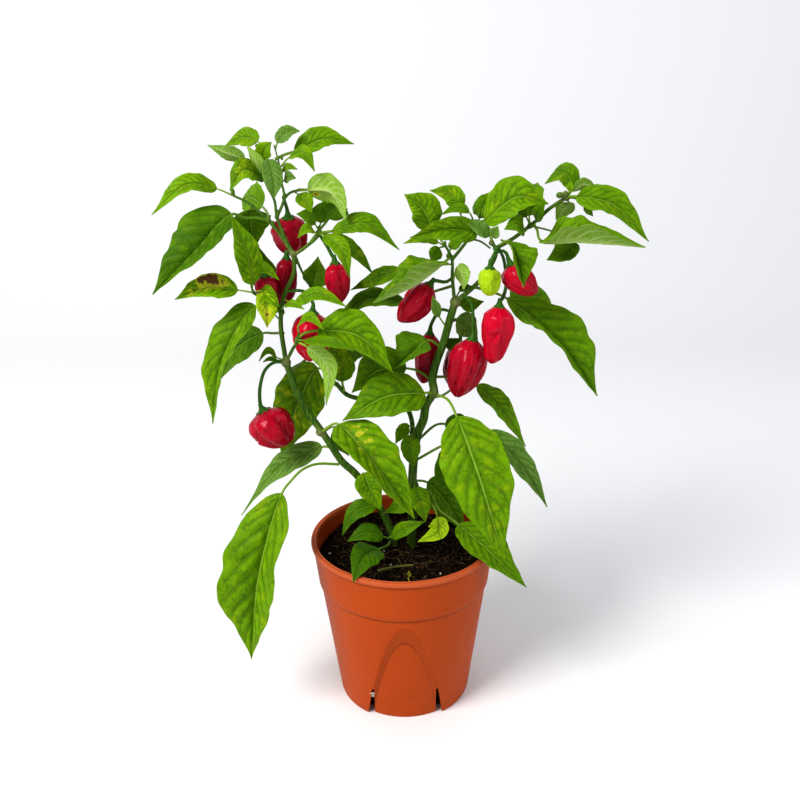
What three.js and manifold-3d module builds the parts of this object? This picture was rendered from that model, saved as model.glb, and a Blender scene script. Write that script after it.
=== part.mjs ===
// A lantern chilli pepper plant in a round plastic nursery pot.
// Millimetres, +Z up. The origin is the centre of the pot's flat underside.
//
// The plant's places are given as (x, z, y): x and z are read on the upright plane through the
// pot's axis, as seen from the eye point in front, and y is the depth behind that plane, chosen by
// hand so that the leaves pass each other. seen() turns such a reading into a point in space.

import * as THREE from "three";
import { mergeVertices } from "three/addons/utils/BufferGeometryUtils.js";
import Module from "manifold-3d";

const wasm = await Module();
wasm.setup();
const { Manifold, Mesh: SolidMesh } = wasm;

// Driving dimensions
const EYE = new THREE.Vector3(-1, -596, 473);
const CLEAR = 0.35;

const RIM_RADIUS = 75;
const RIM_TOP = 141;
const RIM_WIDTH = 4;
const RIM_EDGE = 1;
const BEAD_DEPTH = 3.6;
const BEAD_REACH = 1.6;
const BASE_RADIUS = 55;
const BASE_BEVEL = 1.5;
const SHOULDER_HEIGHT = 105;
const SHOULDER_RADIUS = 70;
const BODY_TOP = 103;
const BODY_TOP_RADIUS = 68.4;
const FOOT_WALL = 5;
const WALL = 2.4;
const FLOOR = 4;
const POT_SIDES = 36;

// Each drainage arch is a parabola pressed into the body, deepest at the foot, with a panel
// pressed in further inside it and a tapered slit through the wall at either side.
const ARCH_COUNT = 3;
const ARCH_STEPS = 5;
const OUTER_ARCH = { halfWidth: 31, height: 96, footDepth: 1.6, topDepth: 0.4 };
const INNER_ARCH = { halfWidth: 28, height: 81, footDepth: 3.2, topDepth: 0.6 };
const SLIT = { inner: 25, footWidth: 5.4, topWidth: 1.6, top: 29, depth: 22 };
const BELOW = 3;

const SOIL_LEVEL = 126;
const SOIL_EDGE_DROP = 3;
const SOIL_RINGS = [0.84, 0.64, 0.44, 0.22];
const SOIL_SIDES = 24;
const HOLE_DEPTH = 38;
const HOLE_PLAY = 0.9;
const HOLE_SIDES = 10;

const BLADE_HALF_THICKNESS = 0.38;
const MIDRIB_HALF_THICKNESS = 0.6;
const LARGE_STALK_RADIUS = 1.25;
const SMALL_STALK_RADIUS = 0.75;
const BLADE_STEP = 16;
const MOST_BLADE_STEPS = 8;
const PLAIN_WIDTH = 20;
const PLAIN_FOLD = 18;
const WIDEST_AT = 0.4;
const BASE_ROUNDNESS = 0.85;
const TIP_SHARPNESS = 1.25;
const WAVE_SHARE = 0.035;

const LOBE_MEAN = 0.94;
const LOBE_DEPTH = 0.07;
const LOBE_TWIST = 0.15;
const TOP_RISE = 0.6;
const PEDICEL_START = 1.1;
const PEDICEL_END = 1.5;
const CAP_SIDES = 6;

const COLOURS = {
  pot: 0xbe5224,
  soil: 0x1d1410,
  twig: 0x6f7a2a,
  stem: 0x2f5a1a,
  dark: 0x35700f,
  mid: 0x4a8a14,
  bright: 0x6aa81a,
  light: 0x7fae3c,
  pale: 0x9cc46c,
  lime: 0x9cc832,
  olive: 0x66801c,
  grey: 0x6d9350,
  red: 0xb8082c,
  green: 0x9fc91a,
};

function seen([x, z, y]) {
  const reach = (y - EYE.y) / -EYE.y;
  return new THREE.Vector3(EYE.x + (x - EYE.x) * reach, y, EYE.z + (z - EYE.z) * reach);
}

// Solids from closed surfaces

function solidOf(geometry) {
  geometry.deleteAttribute("normal");
  geometry.deleteAttribute("uv");
  const merged = mergeVertices(geometry, 1e-4);
  const solid = new Manifold(new SolidMesh({
    numProp: 3,
    vertProperties: new Float32Array(merged.attributes.position.array),
    triVerts: new Uint32Array(merged.index.array),
  }));
  return solid;
}

function geometryOf(solid) {
  const mesh = solid.getMesh();
  const geometry = new THREE.BufferGeometry();
  geometry.setAttribute("position", new THREE.BufferAttribute(mesh.vertProperties, mesh.numProp));
  geometry.setIndex(new THREE.BufferAttribute(mesh.triVerts, 1));
  return geometry;
}

function fuse(solids) {
  return Manifold.union(solids);
}

function largestPiece(solid) {
  const pieces = solid.decompose();
  return pieces.reduce((best, piece) => (piece.volume() > best.volume() ? piece : best));
}

// Joins rings of points, all of one count, into a closed skin with flat ends. Each ring runs the
// same way round. From the ring place turnFrom on, the four-sided faces are split along the other
// diagonal, so that the two faces of a thin blade are split alike.
function loft(rings, turnFrom = Infinity) {
  const count = rings[0].length;
  const positions = rings.flat().flatMap((point) => [point.x, point.y, point.z]);
  const faces = [];
  for (let row = 0; row + 1 < rings.length; row += 1) {
    for (let place = 0; place < count; place += 1) {
      const a = row * count + place;
      const b = row * count + ((place + 1) % count);
      const c = a + count;
      const d = b + count;
      if (place < turnFrom) faces.push(a, b, d, a, d, c);
      else faces.push(a, b, c, b, d, c);
    }
  }
  const last = (rings.length - 1) * count;
  for (let place = 1; place + 1 < count; place += 1) {
    faces.push(0, place + 1, place);
    faces.push(last, last + place, last + place + 1);
  }
  const geometry = new THREE.BufferGeometry();
  geometry.setAttribute("position", new THREE.Float32BufferAttribute(positions, 3));
  geometry.setIndex(faces);
  const solid = solidOf(geometry);
  if (solid.volume() > 0) return solid;
  geometry.setIndex(faces.reverse());
  return solidOf(geometry);
}

function ringAround(centre, right, up, radii) {
  return radii.map((radius, place) => {
    const angle = (2 * Math.PI * place) / radii.length;
    return centre.clone()
      .addScaledVector(right, radius * Math.cos(angle))
      .addScaledVector(up, radius * Math.sin(angle));
  });
}

// A round stalk that tapers along a smooth curve through the points.
function stalk(points, startRadius, endRadius, steps, sides = 6) {
  const curve = new THREE.CatmullRomCurve3(points, false, "centripetal");
  const frames = curve.computeFrenetFrames(steps, false);
  const rings = [];
  for (let step = 0; step <= steps; step += 1) {
    const along = step / steps;
    const radius = THREE.MathUtils.lerp(startRadius, endRadius, along);
    const radii = new Array(sides).fill(radius);
    rings.push(ringAround(curve.getPointAt(along), frames.normals[step], frames.binormals[step], radii));
  }
  return loft(rings);
}

function knot(place, radius, height = radius) {
  const centre = seen(place);
  const geometry = radius > 2.3 ? new THREE.IcosahedronGeometry(1, 0) : new THREE.OctahedronGeometry(1, 0);
  geometry.scale(radius, radius, height);
  geometry.translate(centre.x, centre.y, centre.z);
  return solidOf(geometry);
}

// Pot

function potProfile() {
  const innerTop = RIM_RADIUS - RIM_WIDTH;
  const points = [
    [0, 0],
    [BASE_RADIUS - BASE_BEVEL, 0],
    [BASE_RADIUS, BASE_BEVEL],
    [BODY_TOP_RADIUS, BODY_TOP],
    [SHOULDER_RADIUS, SHOULDER_HEIGHT],
    [RIM_RADIUS - BEAD_REACH, RIM_TOP - BEAD_DEPTH - RIM_EDGE],
    [RIM_RADIUS, RIM_TOP - BEAD_DEPTH],
    [RIM_RADIUS, RIM_TOP - RIM_EDGE],
    [RIM_RADIUS - RIM_EDGE, RIM_TOP],
    [innerTop, RIM_TOP],
    [innerTop - 0.4, RIM_TOP - 3],
    [BODY_TOP_RADIUS - WALL, BODY_TOP],
    [BASE_RADIUS - FOOT_WALL, FLOOR],
    [0, FLOOR],
  ];
  return points.map(([radius, height]) => new THREE.Vector2(radius, height));
}

function turned(profile, sides) {
  const geometry = new THREE.LatheGeometry(profile, sides);
  geometry.rotateX(Math.PI / 2);
  const solid = solidOf(geometry);
  return solid.volume() > 0 ? solid : flipped(geometry);
}

function flipped(geometry) {
  const index = Array.from(geometry.index.array).reverse();
  geometry.setIndex(index);
  return solidOf(geometry);
}

// A cone inside the pot's tapered body: what is left of the body under a pressed-in arch.
function insetCone({ footDepth, topDepth }) {
  return turned([
    new THREE.Vector2(0, -2 * BELOW),
    new THREE.Vector2(BASE_RADIUS - footDepth, -2 * BELOW),
    new THREE.Vector2(BASE_RADIUS - footDepth, 0),
    new THREE.Vector2(BODY_TOP_RADIUS - topDepth, BODY_TOP),
    new THREE.Vector2(0, BODY_TOP),
  ], POT_SIDES);
}

// Pushes an upright outline from y = -near outward by the depth, and turns it round the pot.
function pushedOut(outline, near, depth, turn) {
  const geometry = new THREE.ExtrudeGeometry(outline, { depth, bevelEnabled: false });
  geometry.rotateX(Math.PI / 2);
  geometry.translate(0, -near, 0);
  geometry.rotateZ(turn);
  return solidOf(geometry);
}

function archCut(arch, turn) {
  const outline = new THREE.Shape();
  outline.moveTo(-arch.halfWidth, -BELOW);
  for (let step = -ARCH_STEPS; step <= ARCH_STEPS; step += 1) {
    const across = step / ARCH_STEPS;
    outline.lineTo(across * arch.halfWidth, arch.height * (1 - across ** 2));
  }
  outline.lineTo(arch.halfWidth, -BELOW);
  return pushedOut(outline, BASE_RADIUS / 2, BASE_RADIUS, turn).subtract(insetCone(arch));
}

function slitCut(side, turn) {
  const { inner, footWidth, topWidth, top, depth } = SLIT;
  const outline = new THREE.Shape();
  outline.moveTo(side * inner, -BELOW);
  outline.lineTo(side * (inner + footWidth), -BELOW);
  outline.lineTo(side * (inner + topWidth), top);
  outline.lineTo(side * inner, top);
  return pushedOut(outline, BASE_RADIUS + BELOW - depth, depth, turn);
}

function makePot() {
  let pot = turned(potProfile(), POT_SIDES);
  for (let place = 0; place < ARCH_COUNT; place += 1) {
    const turn = (2 * Math.PI * place) / ARCH_COUNT;
    const cuts = [archCut(OUTER_ARCH, turn), archCut(INNER_ARCH, turn), slitCut(-1, turn), slitCut(1, turn)];
    pot = pot.subtract(fuse(cuts));
  }
  return pot;
}

// Soil

const STEM_FEET = {
  left: { x: -8, y: 3, radius: 3.4 },
  right: { x: 7, y: 4, radius: 4 },
};

function soilHeight(x, y) {
  const mound = 3.5 * Math.exp(-((x + 30) ** 2 + (y - 5) ** 2) / 900);
  return SOIL_LEVEL + mound + 0.9 * Math.sin(x / 7 + y / 11) + 0.7 * Math.cos(y / 6 - x / 13);
}

function makeSoil() {
  const inner = BASE_RADIUS - FOOT_WALL - CLEAR;
  const shoulderRadius = BODY_TOP_RADIUS - WALL - CLEAR;
  const upperSlope = (RIM_RADIUS - RIM_WIDTH - BODY_TOP_RADIUS + WALL) / (RIM_TOP - BODY_TOP);
  const topRadius = shoulderRadius + upperSlope * (SOIL_LEVEL - BODY_TOP) - 2 * CLEAR;
  const profile = [
    new THREE.Vector2(0, FLOOR + CLEAR),
    new THREE.Vector2(inner, FLOOR + CLEAR),
    new THREE.Vector2(shoulderRadius, BODY_TOP),
    new THREE.Vector2(topRadius, SOIL_LEVEL - SOIL_EDGE_DROP),
    ...SOIL_RINGS.map((part) => new THREE.Vector2(part * topRadius, SOIL_LEVEL)),
    new THREE.Vector2(0, SOIL_LEVEL),
  ];
  const geometry = new THREE.LatheGeometry(profile, SOIL_SIDES);
  geometry.rotateX(Math.PI / 2);
  const position = geometry.attributes.position;
  for (let point = 0; point < position.count; point += 1) {
    const z = position.getZ(point);
    if (z < SOIL_LEVEL - 1) continue;
    position.setZ(point, soilHeight(position.getX(point), position.getY(point)));
  }
  let soil = solidOf(geometry);
  if (soil.volume() < 0) soil = flipped(geometry);
  for (const foot of Object.values(STEM_FEET)) {
    const radius = foot.radius + HOLE_PLAY;
    const hole = new THREE.CylinderGeometry(radius, radius, 2 * HOLE_DEPTH, HOLE_SIDES);
    hole.rotateX(Math.PI / 2);
    hole.translate(foot.x, foot.y, SOIL_LEVEL);
    soil = soil.subtract(solidOf(hole));
  }
  return soil;
}

function makeTwig() {
  const ends = [[-20, -36], [-6, -31], [8, -27]];
  const points = ends.map(([x, y]) => new THREE.Vector3(x, y, soilHeight(x, y) + 2.1));
  return stalk(points, 1.5, 1.1, 4);
}

// Stems. Each path is a list of readings, its start radius and its end radius. The two main
// stems rise from their feet in the soil.

function footPoints(foot) {
  return [88.6, 112, 134].map((height) => new THREE.Vector3(foot.x, foot.y, height));
}

const LEFT_PATHS = [
  [[[-16, 160, 2], [-36, 194, 0], [-48, 207, -1], [-56, 221, -2], [-63.5, 234, -2], [-76, 255, -2],
    [-87, 289, -2]], 3.4, 2.6, 14, "foot"],
  [[[-87, 288, -2], [-89, 322, -2], [-85, 341, 0], [-77, 358, 2], [-77, 371, 2]], 1.9, 1.5, 7],
  [[[-77, 371, 2], [-83, 381, 3], [-88.7, 390, 4], [-93, 395, 4], [-92, 399, 4]], 1.5, 1.2, 4],
  [[[-92, 394, 4], [-106.6, 407.5, 6], [-117.5, 413, 6]], 1.3, 0.9, 4],
  [[[-77, 371, 2], [-83, 385, 1], [-87, 397.5, 0], [-88, 409, 0], [-93, 420, 0], [-96, 432, 1],
    [-95, 446, 1]], 1.4, 0.7, 8],
  [[[-87, 397, 0], [-81, 411, 0], [-82.5, 423, 0], [-83, 433, 0], [-86, 447, 1]], 1.2, 0.6, 5],
  [[[-81.5, 410, 0], [-76, 414.5, 1], [-69, 416, 1]], 1.1, 0.9, 2],
  [[[-77, 370, 2], [-69, 375, 2], [-57.5, 385, 1], [-57, 391, 2]], 1.4, 1.2, 4],
  [[[-87, 289, -2], [-81, 300, -9], [-77, 306, -13], [-76, 312, -14]], 1.4, 1.1, 4],
  [[[-88, 327, -2], [-97, 336, -6], [-107.5, 343, -9], [-109, 354, -11]], 1.2, 0.9, 4],
  [[[-76, 371, 2], [-72, 360, 6], [-65.5, 346, 10]], 1.2, 0.8, 3],
  [[[-9, 133, 3], [-10, 135, -2], [-12.5, 137.5, -6]], 1.5, 1.1, 3],
];

const RIGHT_PATHS = [
  [[[8, 160, 4], [8, 190, 5], [12, 228, 4], [17, 241, 4], [19, 253, 3], [25, 264, 2], [24, 273, 2],
    [26.5, 286, 2], [32, 302, 2], [37, 321, 1], [41, 335, 0]], 4, 2.9, 18, "foot"],
  [[[40.5, 333, 0], [38.5, 352, 2], [38, 366, 3], [33, 376, 4]], 1.5, 1, 4],
  [[[38, 365, 3], [49.5, 380, 4], [55, 392, 4]], 1.4, 1.1, 4],
  [[[41, 334, 0], [49.5, 341, -1], [58, 349, -2], [70, 369, -2], [66.5, 379, -2]], 2.1, 1.3, 6],
  [[[68, 372, -2], [82, 380, 1], [94, 389, 3], [100, 394, 3], [107.5, 401, 3], [119, 408.5, 3]],
    1.5, 1.4, 7],
  [[[49.5, 380, 4], [58, 378.5, 2], [66, 373, -1]], 0.8, 0.8, 3],
  [[[8.5, 186, 5], [7, 215, 12], [8, 240, 17], [2, 253, 19], [-20, 257, 19], [-41, 262, 16],
    [-50, 272, 13]], 2.1, 1.8, 10],
];

const KNOTS = {
  left: [[[-87, 289, -2], 4], [[-77, 371, 2], 2.6], [[-93, 395, 4], 2], [[-87, 397.5, 0], 1.8],
    [[-81, 411, 0], 1.9], [[-57.5, 386, 1], 2.6], [[-88, 328, -2], 2.6], [[-63.5, 232, -2], 3.9],
    [[-107.5, 343, -9], 1.6], [[-104, 405.5, 6], 1.8], [[-77, 306.5, -13], 2.8]],
  right: [[[25, 263, 2], 4], [[41, 334, 0], 4.4], [[66.5, 377, -2], 2.2], [[94, 389, 3], 2.4],
    [[55, 392, 4], 2.2], [[36, 368, 3], 2.4], [[-49.5, 271, 13], 2.2], [[119, 408.5, 3], 2.8],
    [[8.5, 184, 5], 5]],
};

const BUDS = {
  left: [[[-117, 415, 6], 1.6, 3], [[-90, 392, 4], 1.5, 3.4], [[-81, 438, 0], 1.2, 2],
    [[-98, 446, 1], 1.2, 2]],
  right: [[[54, 400, 4], 1.5, 3], [[57, 397, 4], 1.3, 2.5], [[114, 410, 1], 2.8, 2.4],
    [[118, 411, 1], 2, 2.4], [[33, 377, 4], 1.2, 2.4]],
};

function pathSolid([readings, startRadius, endRadius, steps, start], foot, grow = 0) {
  const points = readings.map(seen);
  if (start === "foot") points.unshift(...footPoints(foot));
  const extra = start === "foot" ? 3 : 0;
  const sides = startRadius > 1.6 ? 6 : 4;
  return stalk(points, startRadius + grow, endRadius + grow, steps + extra, sides);
}

// Leaves. A row gives the node's name, or "" for a small leaf that is one with its stem, the
// stalk's readings from the stem, the readings of the blade's base, middle and tip, its width,
// its roll (degrees from facing the viewer, positive with the upper face turned to the sky), its
// fold (degrees that each half rises from flat) and its tone. A twist in degrees may follow, and
// then the share of the blade's length at which it is widest.

const LEFT_LEAVES = [
  ["leaf_left_01", [[-93, 395, 4], [-101, 397, 3], [-110, 397, 1]], [-119, 400, -2],
    [-147, 374, -14], [-182, 342.5, -24], 44, 45, 30, "dark"],
  ["leaf_left_02", [[-88, 329, -2], [-97, 332, -5]], [-107, 333, -7], [-135, 291, -16],
    [-147, 240, -18], 34, 50, 25, "mid"],
  ["leaf_left_03", [[-51, 204, -1], [-67.5, 204.5, -8], [-79, 200, -14], [-89, 190, -20]],
    [-97, 179, -26], [-121, 100, -42], [-133, 20, -48], 64, 33, 33, "mid", 0, 0.48],
  ["leaf_left_04", [[-57, 219, -2]], [-63, 219, 6], [-97, 202, 14], [-131, 160, 16],
    20, 40, 8, "grey", 40],
  ["leaf_left_05", [[-77, 305, -13]], [-70, 301, -19], [-56, 286, -21], [-58, 254, -22],
    15, 150, 10, "pale"],
  ["leaf_left_06", [[-77, 308, -13], [-71, 312, -16]], [-62, 313.5, -20], [-32, 309, -22],
    [-6, 279.5, -28], 34, 30, 18, "light"],
  ["leaf_left_07", [[-70, 416, 1]], [-64, 416, 0], [-48, 414, -6],
    [-38, 394, -8], 22, 145, 22, "pale"],
  ["leaf_left_08", [[-57.5, 386, 1]], [-48, 387, -3], [-25, 392, -6], [0, 373, -8],
    18, 40, 10, "mid"],
  ["leaf_left_09", [[-84.5, 437.5, 0], [-79, 440, 5]], [-72, 442, 7], [-51, 450, 10],
    [-30.5, 446.5, 10], 18, 40, 15, "mid"],
  ["leaf_left_10", [[-63, 231, -2], [-57, 236, -10]], [-49, 238, -20], [-19, 198, -46],
    [9.5, 154.5, -54], 46, 36, 32, "bright"],
  // Behind the left stem
  ["leaf_back_01", [[-88, 312, -2], [-96, 312, 18]], [-103, 312, 28], [-124, 300, 50],
    [-137, 277, 70], 22, 20, 12, "dark"],
  ["leaf_back_02", [[-84, 280, -2], [-72, 291, 20]], [-60, 299, 36], [-38, 303, 62],
    [-18, 296, 88], 28, 10, 12, "dark"],
  ["leaf_back_03", [[-93, 397, 4], [-94, 401, 20]], [-97, 405, 34], [-104, 411, 58],
    [-111, 410, 80], 22, 10, 12, "mid"],
  ["leaf_back_04", [[-64, 379, 2], [-57, 388, 22]], [-50, 396, 34], [-44, 406, 52],
    [-40, 402, 76], 20, 10, 12, "mid"],
  // Far left, upper shoots
  ["", [[-117.5, 413, 6]], [-128, 417.5, 4], [-149, 420.5, -2], [-176, 400, -8], 17, 40, 15, "light"],
  ["", [[-108, 348, -10]], [-107.5, 350, -15], [-111, 374, -24], [-119.5, 400, -27], 20, 20, 12, "bright"],
  ["", [[-104, 405.5, 6]], [-105, 403, 9], [-106, 391, 16], [-103, 377, 20], 26, 10, 8, "dark"],
  ["", [[-95, 446, 1]], [-97, 449, 3], [-107, 451.5, 8], [-120, 446, 10], 14, 35, 10, "bright"],
  ["", [[-94, 425, 0], [-101, 431, -2]], [-107, 437, -4], [-119, 441.5, -8], [-132, 447, -8],
    11, 150, 10, "grey"],
  ["", [[-92, 418, 0]], [-95, 423, -4], [-108, 430, -12], [-119, 416, -16], 18, 30, 12, "olive"],
  ["", [[-93, 421, 0]], [-95, 427, -4], [-100, 437, -7], [-105, 447, -6], 10, 145, 20, "pale"],
  ["", [[-96, 432, 1]], [-94.5, 437, 0], [-92.5, 444, -2], [-87.5, 448.5, -3], 11, 10, 10, "bright"],
  ["", [[-85, 444, 1]], [-83.5, 448, 1], [-76, 455, 4], [-67.5, 455.5, 6], 10, 30, 10, "grey"],
  ["", [[-83, 431, 0]], [-76, 438, -3], [-66, 441, -7], [-58.5, 428.5, -11], 11, 30, 10, "bright"],
  ["", [[-82.5, 426, 0]], [-81, 429, -1], [-77, 432, -3], [-70.5, 430, -4], 5, 30, 5, "mid"],
  ["", [[-95.5, 434, 1]], [-91, 437, -5], [-88, 423, -13], [-88.5, 409.5, -15], 14, 15, 12, "grey"],
  ["", [[-82.3, 421, 0]], [-80, 423, -5], [-77, 425, -8], [-72, 424, -10], 8, 20, 10, "grey"],
  ["", [[-57.5, 387, 1]], [-60, 392, -2], [-66, 398, -5], [-73, 399.5, -7], 9, 20, 10, "dark"],
  ["", [[-57, 390, 2]], [-56, 393, 5], [-54, 401, 9], [-43.5, 405.5, 12], 14, 25, 10, "dark"],
  ["", [[-74, 415, 1]], [-71, 413, -4], [-66, 408, -7], [-62, 400, -9], 12, 20, 10, "olive"],
  ["", [[-57.5, 385, 1]], [-54, 384, -6], [-42, 374, -14], [-36.5, 352.5, -17], 13, 20, 12, "bright"],
  ["", [[-57.5, 385, 1]], [-48, 384, 8], [-32, 372, 12], [-19.5, 355.5, 14], 10, 25, 10, "olive"],
  ["", [[-58.5, 384, 1]], [-61, 387, -5], [-66, 389, -10], [-73, 382.5, -12], 8, 25, 10, "bright"],
  ["", [[-66, 347, 10]], [-64.5, 347, 13], [-61, 356, 16], [-59, 369, 18], 18, 10, 8, "dark"],
  ["", [[-89, 322, -2]], [-93, 327, 16], [-98, 355, 36], [-103, 379, 34], 20, 15, 10, "dark"],
  ["", [[-109, 353, -11]], [-107, 357, -10], [-99, 361, -12], [-88, 352, -14], 9, 25, 10, "light"],
  ["", [[-106, 341, -8]], [-104, 342, -11], [-98, 341, -14], [-89, 332, -17], 14, 20, 10, "light"],
  ["", [[-105, 344, -9]], [-101, 344, -13], [-98.5, 331, -17], [-99.5, 316.5, -18], 16, 12, 14, "lime"],
  ["", [[-107.5, 343, -9]], [-119, 345, -12], [-143, 347, -16], [-166, 338.5, -16], 20, 25, 25, "pale"],
  ["", [[-77, 306.5, -13]], [-72, 306, -24], [-52, 304, -41], [-35, 297.5, -46], 9, 30, 10, "mid"],
  ["", [[-76, 312, -14]], [-76, 318, -22], [-67, 324, -32], [-57, 314, -40], 8, 20, 10, "light"],
  ["", [[-86, 338, -1]], [-78, 335, -14], [-60, 341, -18], [-39.5, 331.5, -22], 12, 30, 15, "bright"],
  ["", [[-88, 330, -2]], [-85, 333, -12], [-79, 334, -17], [-71, 330, -20], 6, 30, 10, "light"],
  ["", [[-88, 291, -2]], [-94, 293, -5], [-100, 298, -7], [-107.5, 290, -8], 6, 30, 20, "mid"],
  ["", [[-88, 290, -2]], [-94, 291, -2], [-99, 292, -2], [-104.5, 289.5, -2], 3, 20, 10, "mid"],
  ["", [[-62, 231, -2]], [-52, 236, 6], [-49, 224, 10], [-42, 211, 11], 13, 15, 10, "mid"],
  ["", [[-33, 190, 0]], [-31, 196, -8], [-26, 182, -14], [-17, 162, -18], 22, 15, 12, "bright"],
  // Low shoot in the pot
  ["leaf_low_01", [[-10.5, 134.5, -3], [-13, 130, -15]], [-20, 127, -28], [-33, 119, -52],
    [-42.5, 95.5, -70], 24, 5, 12, "dark"],
  ["", [[-12, 137, -6]], [-16, 138.5, -7], [-31, 142, -10], [-46, 134.5, -14], 16, 25, 12, "dark"],
  ["", [[-12, 137, -6]], [-9, 139, -10], [3, 146, -16], [18, 152, -20], 12, 20, 12, "mid"],
  ["", [[-15, 158, 2]], [-21, 166, 0], [-38, 162, -4], [-50, 140, -10], 15, 20, 12, "dark"],
];

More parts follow.
